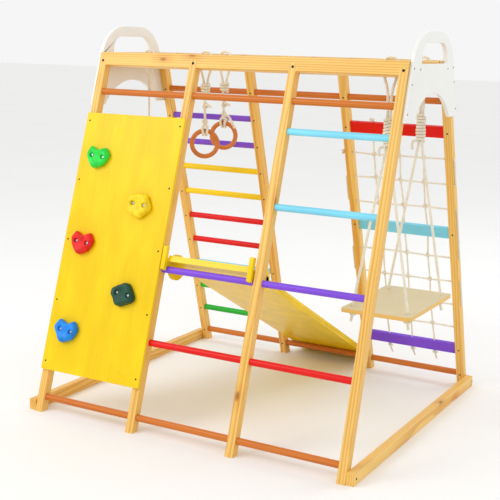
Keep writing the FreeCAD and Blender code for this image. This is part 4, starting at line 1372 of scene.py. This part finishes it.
BOARD_LEFT = -630 * MM      # from the middle of the frame
HOLD_COLUMNS = (78.0, 306.0)
HOLD_ROWS = (318.0, 487.0, 657.0, 824.0, 991.0)
HOLDS = {                   # column, row, outline and the seed of its roughness
    "hold_green": (0, 4, heart(104, 88), 3),
    "hold_yellow": (1, 3, lobed(106, 96, 5, 0.16, 0.9), 5),
    "hold_red": (0, 2, heart(104, 92), 8),
    "hold_dark_green": (1, 1, lobed(106, 92, 4, 0.2, 1.2), 13),
    "hold_blue": (0, 0, heart(106, 92), 21),
}
print("outlines:", {name: len(hold[2]) for name, hold in HOLDS.items()})

# %% A hold's profile and its rough, sunk surface
BOARD_THICK, HOLD_HIGH = 12 * MM, 30 * MM
SPREAD = 1.07               # rounding draws the outline in, and this lets it out again
PROFILE = [(0.95, 0.0), (1.0, 0.18), (1.0, 0.42), (0.93, 0.72), (0.80, 0.93), (0.62, 1.0),
           (0.40, 0.86), (0.20, 0.80)]      # share of the outline, share of the height


def softened(outline_points, share=0.11):
    """Cuts every corner of an outline once."""
    pairs = zip(outline_points, outline_points[1:] + outline_points[:1])
    return [between(a, b, s) for a, b in pairs for s in (share, 1 - share)]


BOLT_SPOTS = ((-20 * MM, 5 * MM), (30 * MM, 0.0))
WELL_FLOOR = 0.72 * HOLD_HIGH - 4.5 * MM
WELL_R = (7.2 * MM, 9.4 * MM)               # at its floor and at its rim
FIRM = 0.3                  # the share of the height over which the roughness grows from nothing


def sculpted(point, way, seed):
    """Roughens a point of a hold and sinks it where a bolt's well is."""
    rise = min(1.0, point.z / (FIRM * HOLD_HIGH))
    lumps = noise.noise(point * 38 + Vector((seed, 0, 0))) * 2.4 * MM
    lumps += noise.noise(point * 120 + Vector((0, seed, 0))) * 0.7 * MM
    place = point + way * lumps * rise
    for x, a in BOLT_SPOTS:
        away = math.hypot(place.x - x, place.y - a)
        open_share = min(1.0, max(0.0, (away - WELL_R[0]) / (WELL_R[1] - WELL_R[0])))
        if place.z > WELL_FLOOR:
            place.z = WELL_FLOOR + (place.z - WELL_FLOOR) * open_share ** 0.5
    return place


print("bolt wells go down to", round(WELL_FLOOR / MM, 1), "mm above the board")


# %% One hold
def hold_piece(name, column, row, outline_points, seed):
    """A hold from rings of its outline, rounded, roughened and sunk for its bolts."""
    x0, a0 = BOARD_LEFT + HOLD_COLUMNS[column] * MM, HOLD_ROWS[row] * MM
    ring_points = softened(outline_points)
    work = bmesh.new()
    rings = []
    for share, height in PROFILE:
        rings.append([work.verts.new((x * share * SPREAD, a * share * SPREAD, height * HOLD_HIGH))
                      for x, a in ring_points])
    skin(work, rings)
    work.faces.new(list(reversed(rings[0])))
    work.faces.new(rings[-1])
    item = solid(name, work)
    rounding = item.modifiers.new("rounding", "SUBSURF")
    rounding.levels = rounding.render_levels = 4 if len(ring_points) < 20 else 3
    final = settled(item)
    as_made = [(vertex.co.copy(), vertex.normal.copy()) for vertex in final.vertices]
    for vertex, (point, way) in zip(final.vertices, as_made):
        x, a, rise = sculpted(point, way, seed)
        vertex.co = on_side(x0 + x, -BOARD_THICK - rise, a0 + a)
    for polygon in final.polygons:
        polygon.use_smooth = True
    work = bmesh.new()
    work.from_mesh(final)
    bmesh.ops.recalc_face_normals(work, faces=work.faces)
    work.to_mesh(final)
    work.free()
    final.materials.clear()
    final.materials.append(resins[name])
    piece = link(bpy.data.objects.new(f"{name}_resin", final))
    return place_piece(piece, "root", slot_of(name), name)


for name, (column, row, outline_points, seed) in HOLDS.items():
    piece = hold_piece(name, column, row, outline_points, seed)
    print(name, "faces:", len(piece.data.polygons))
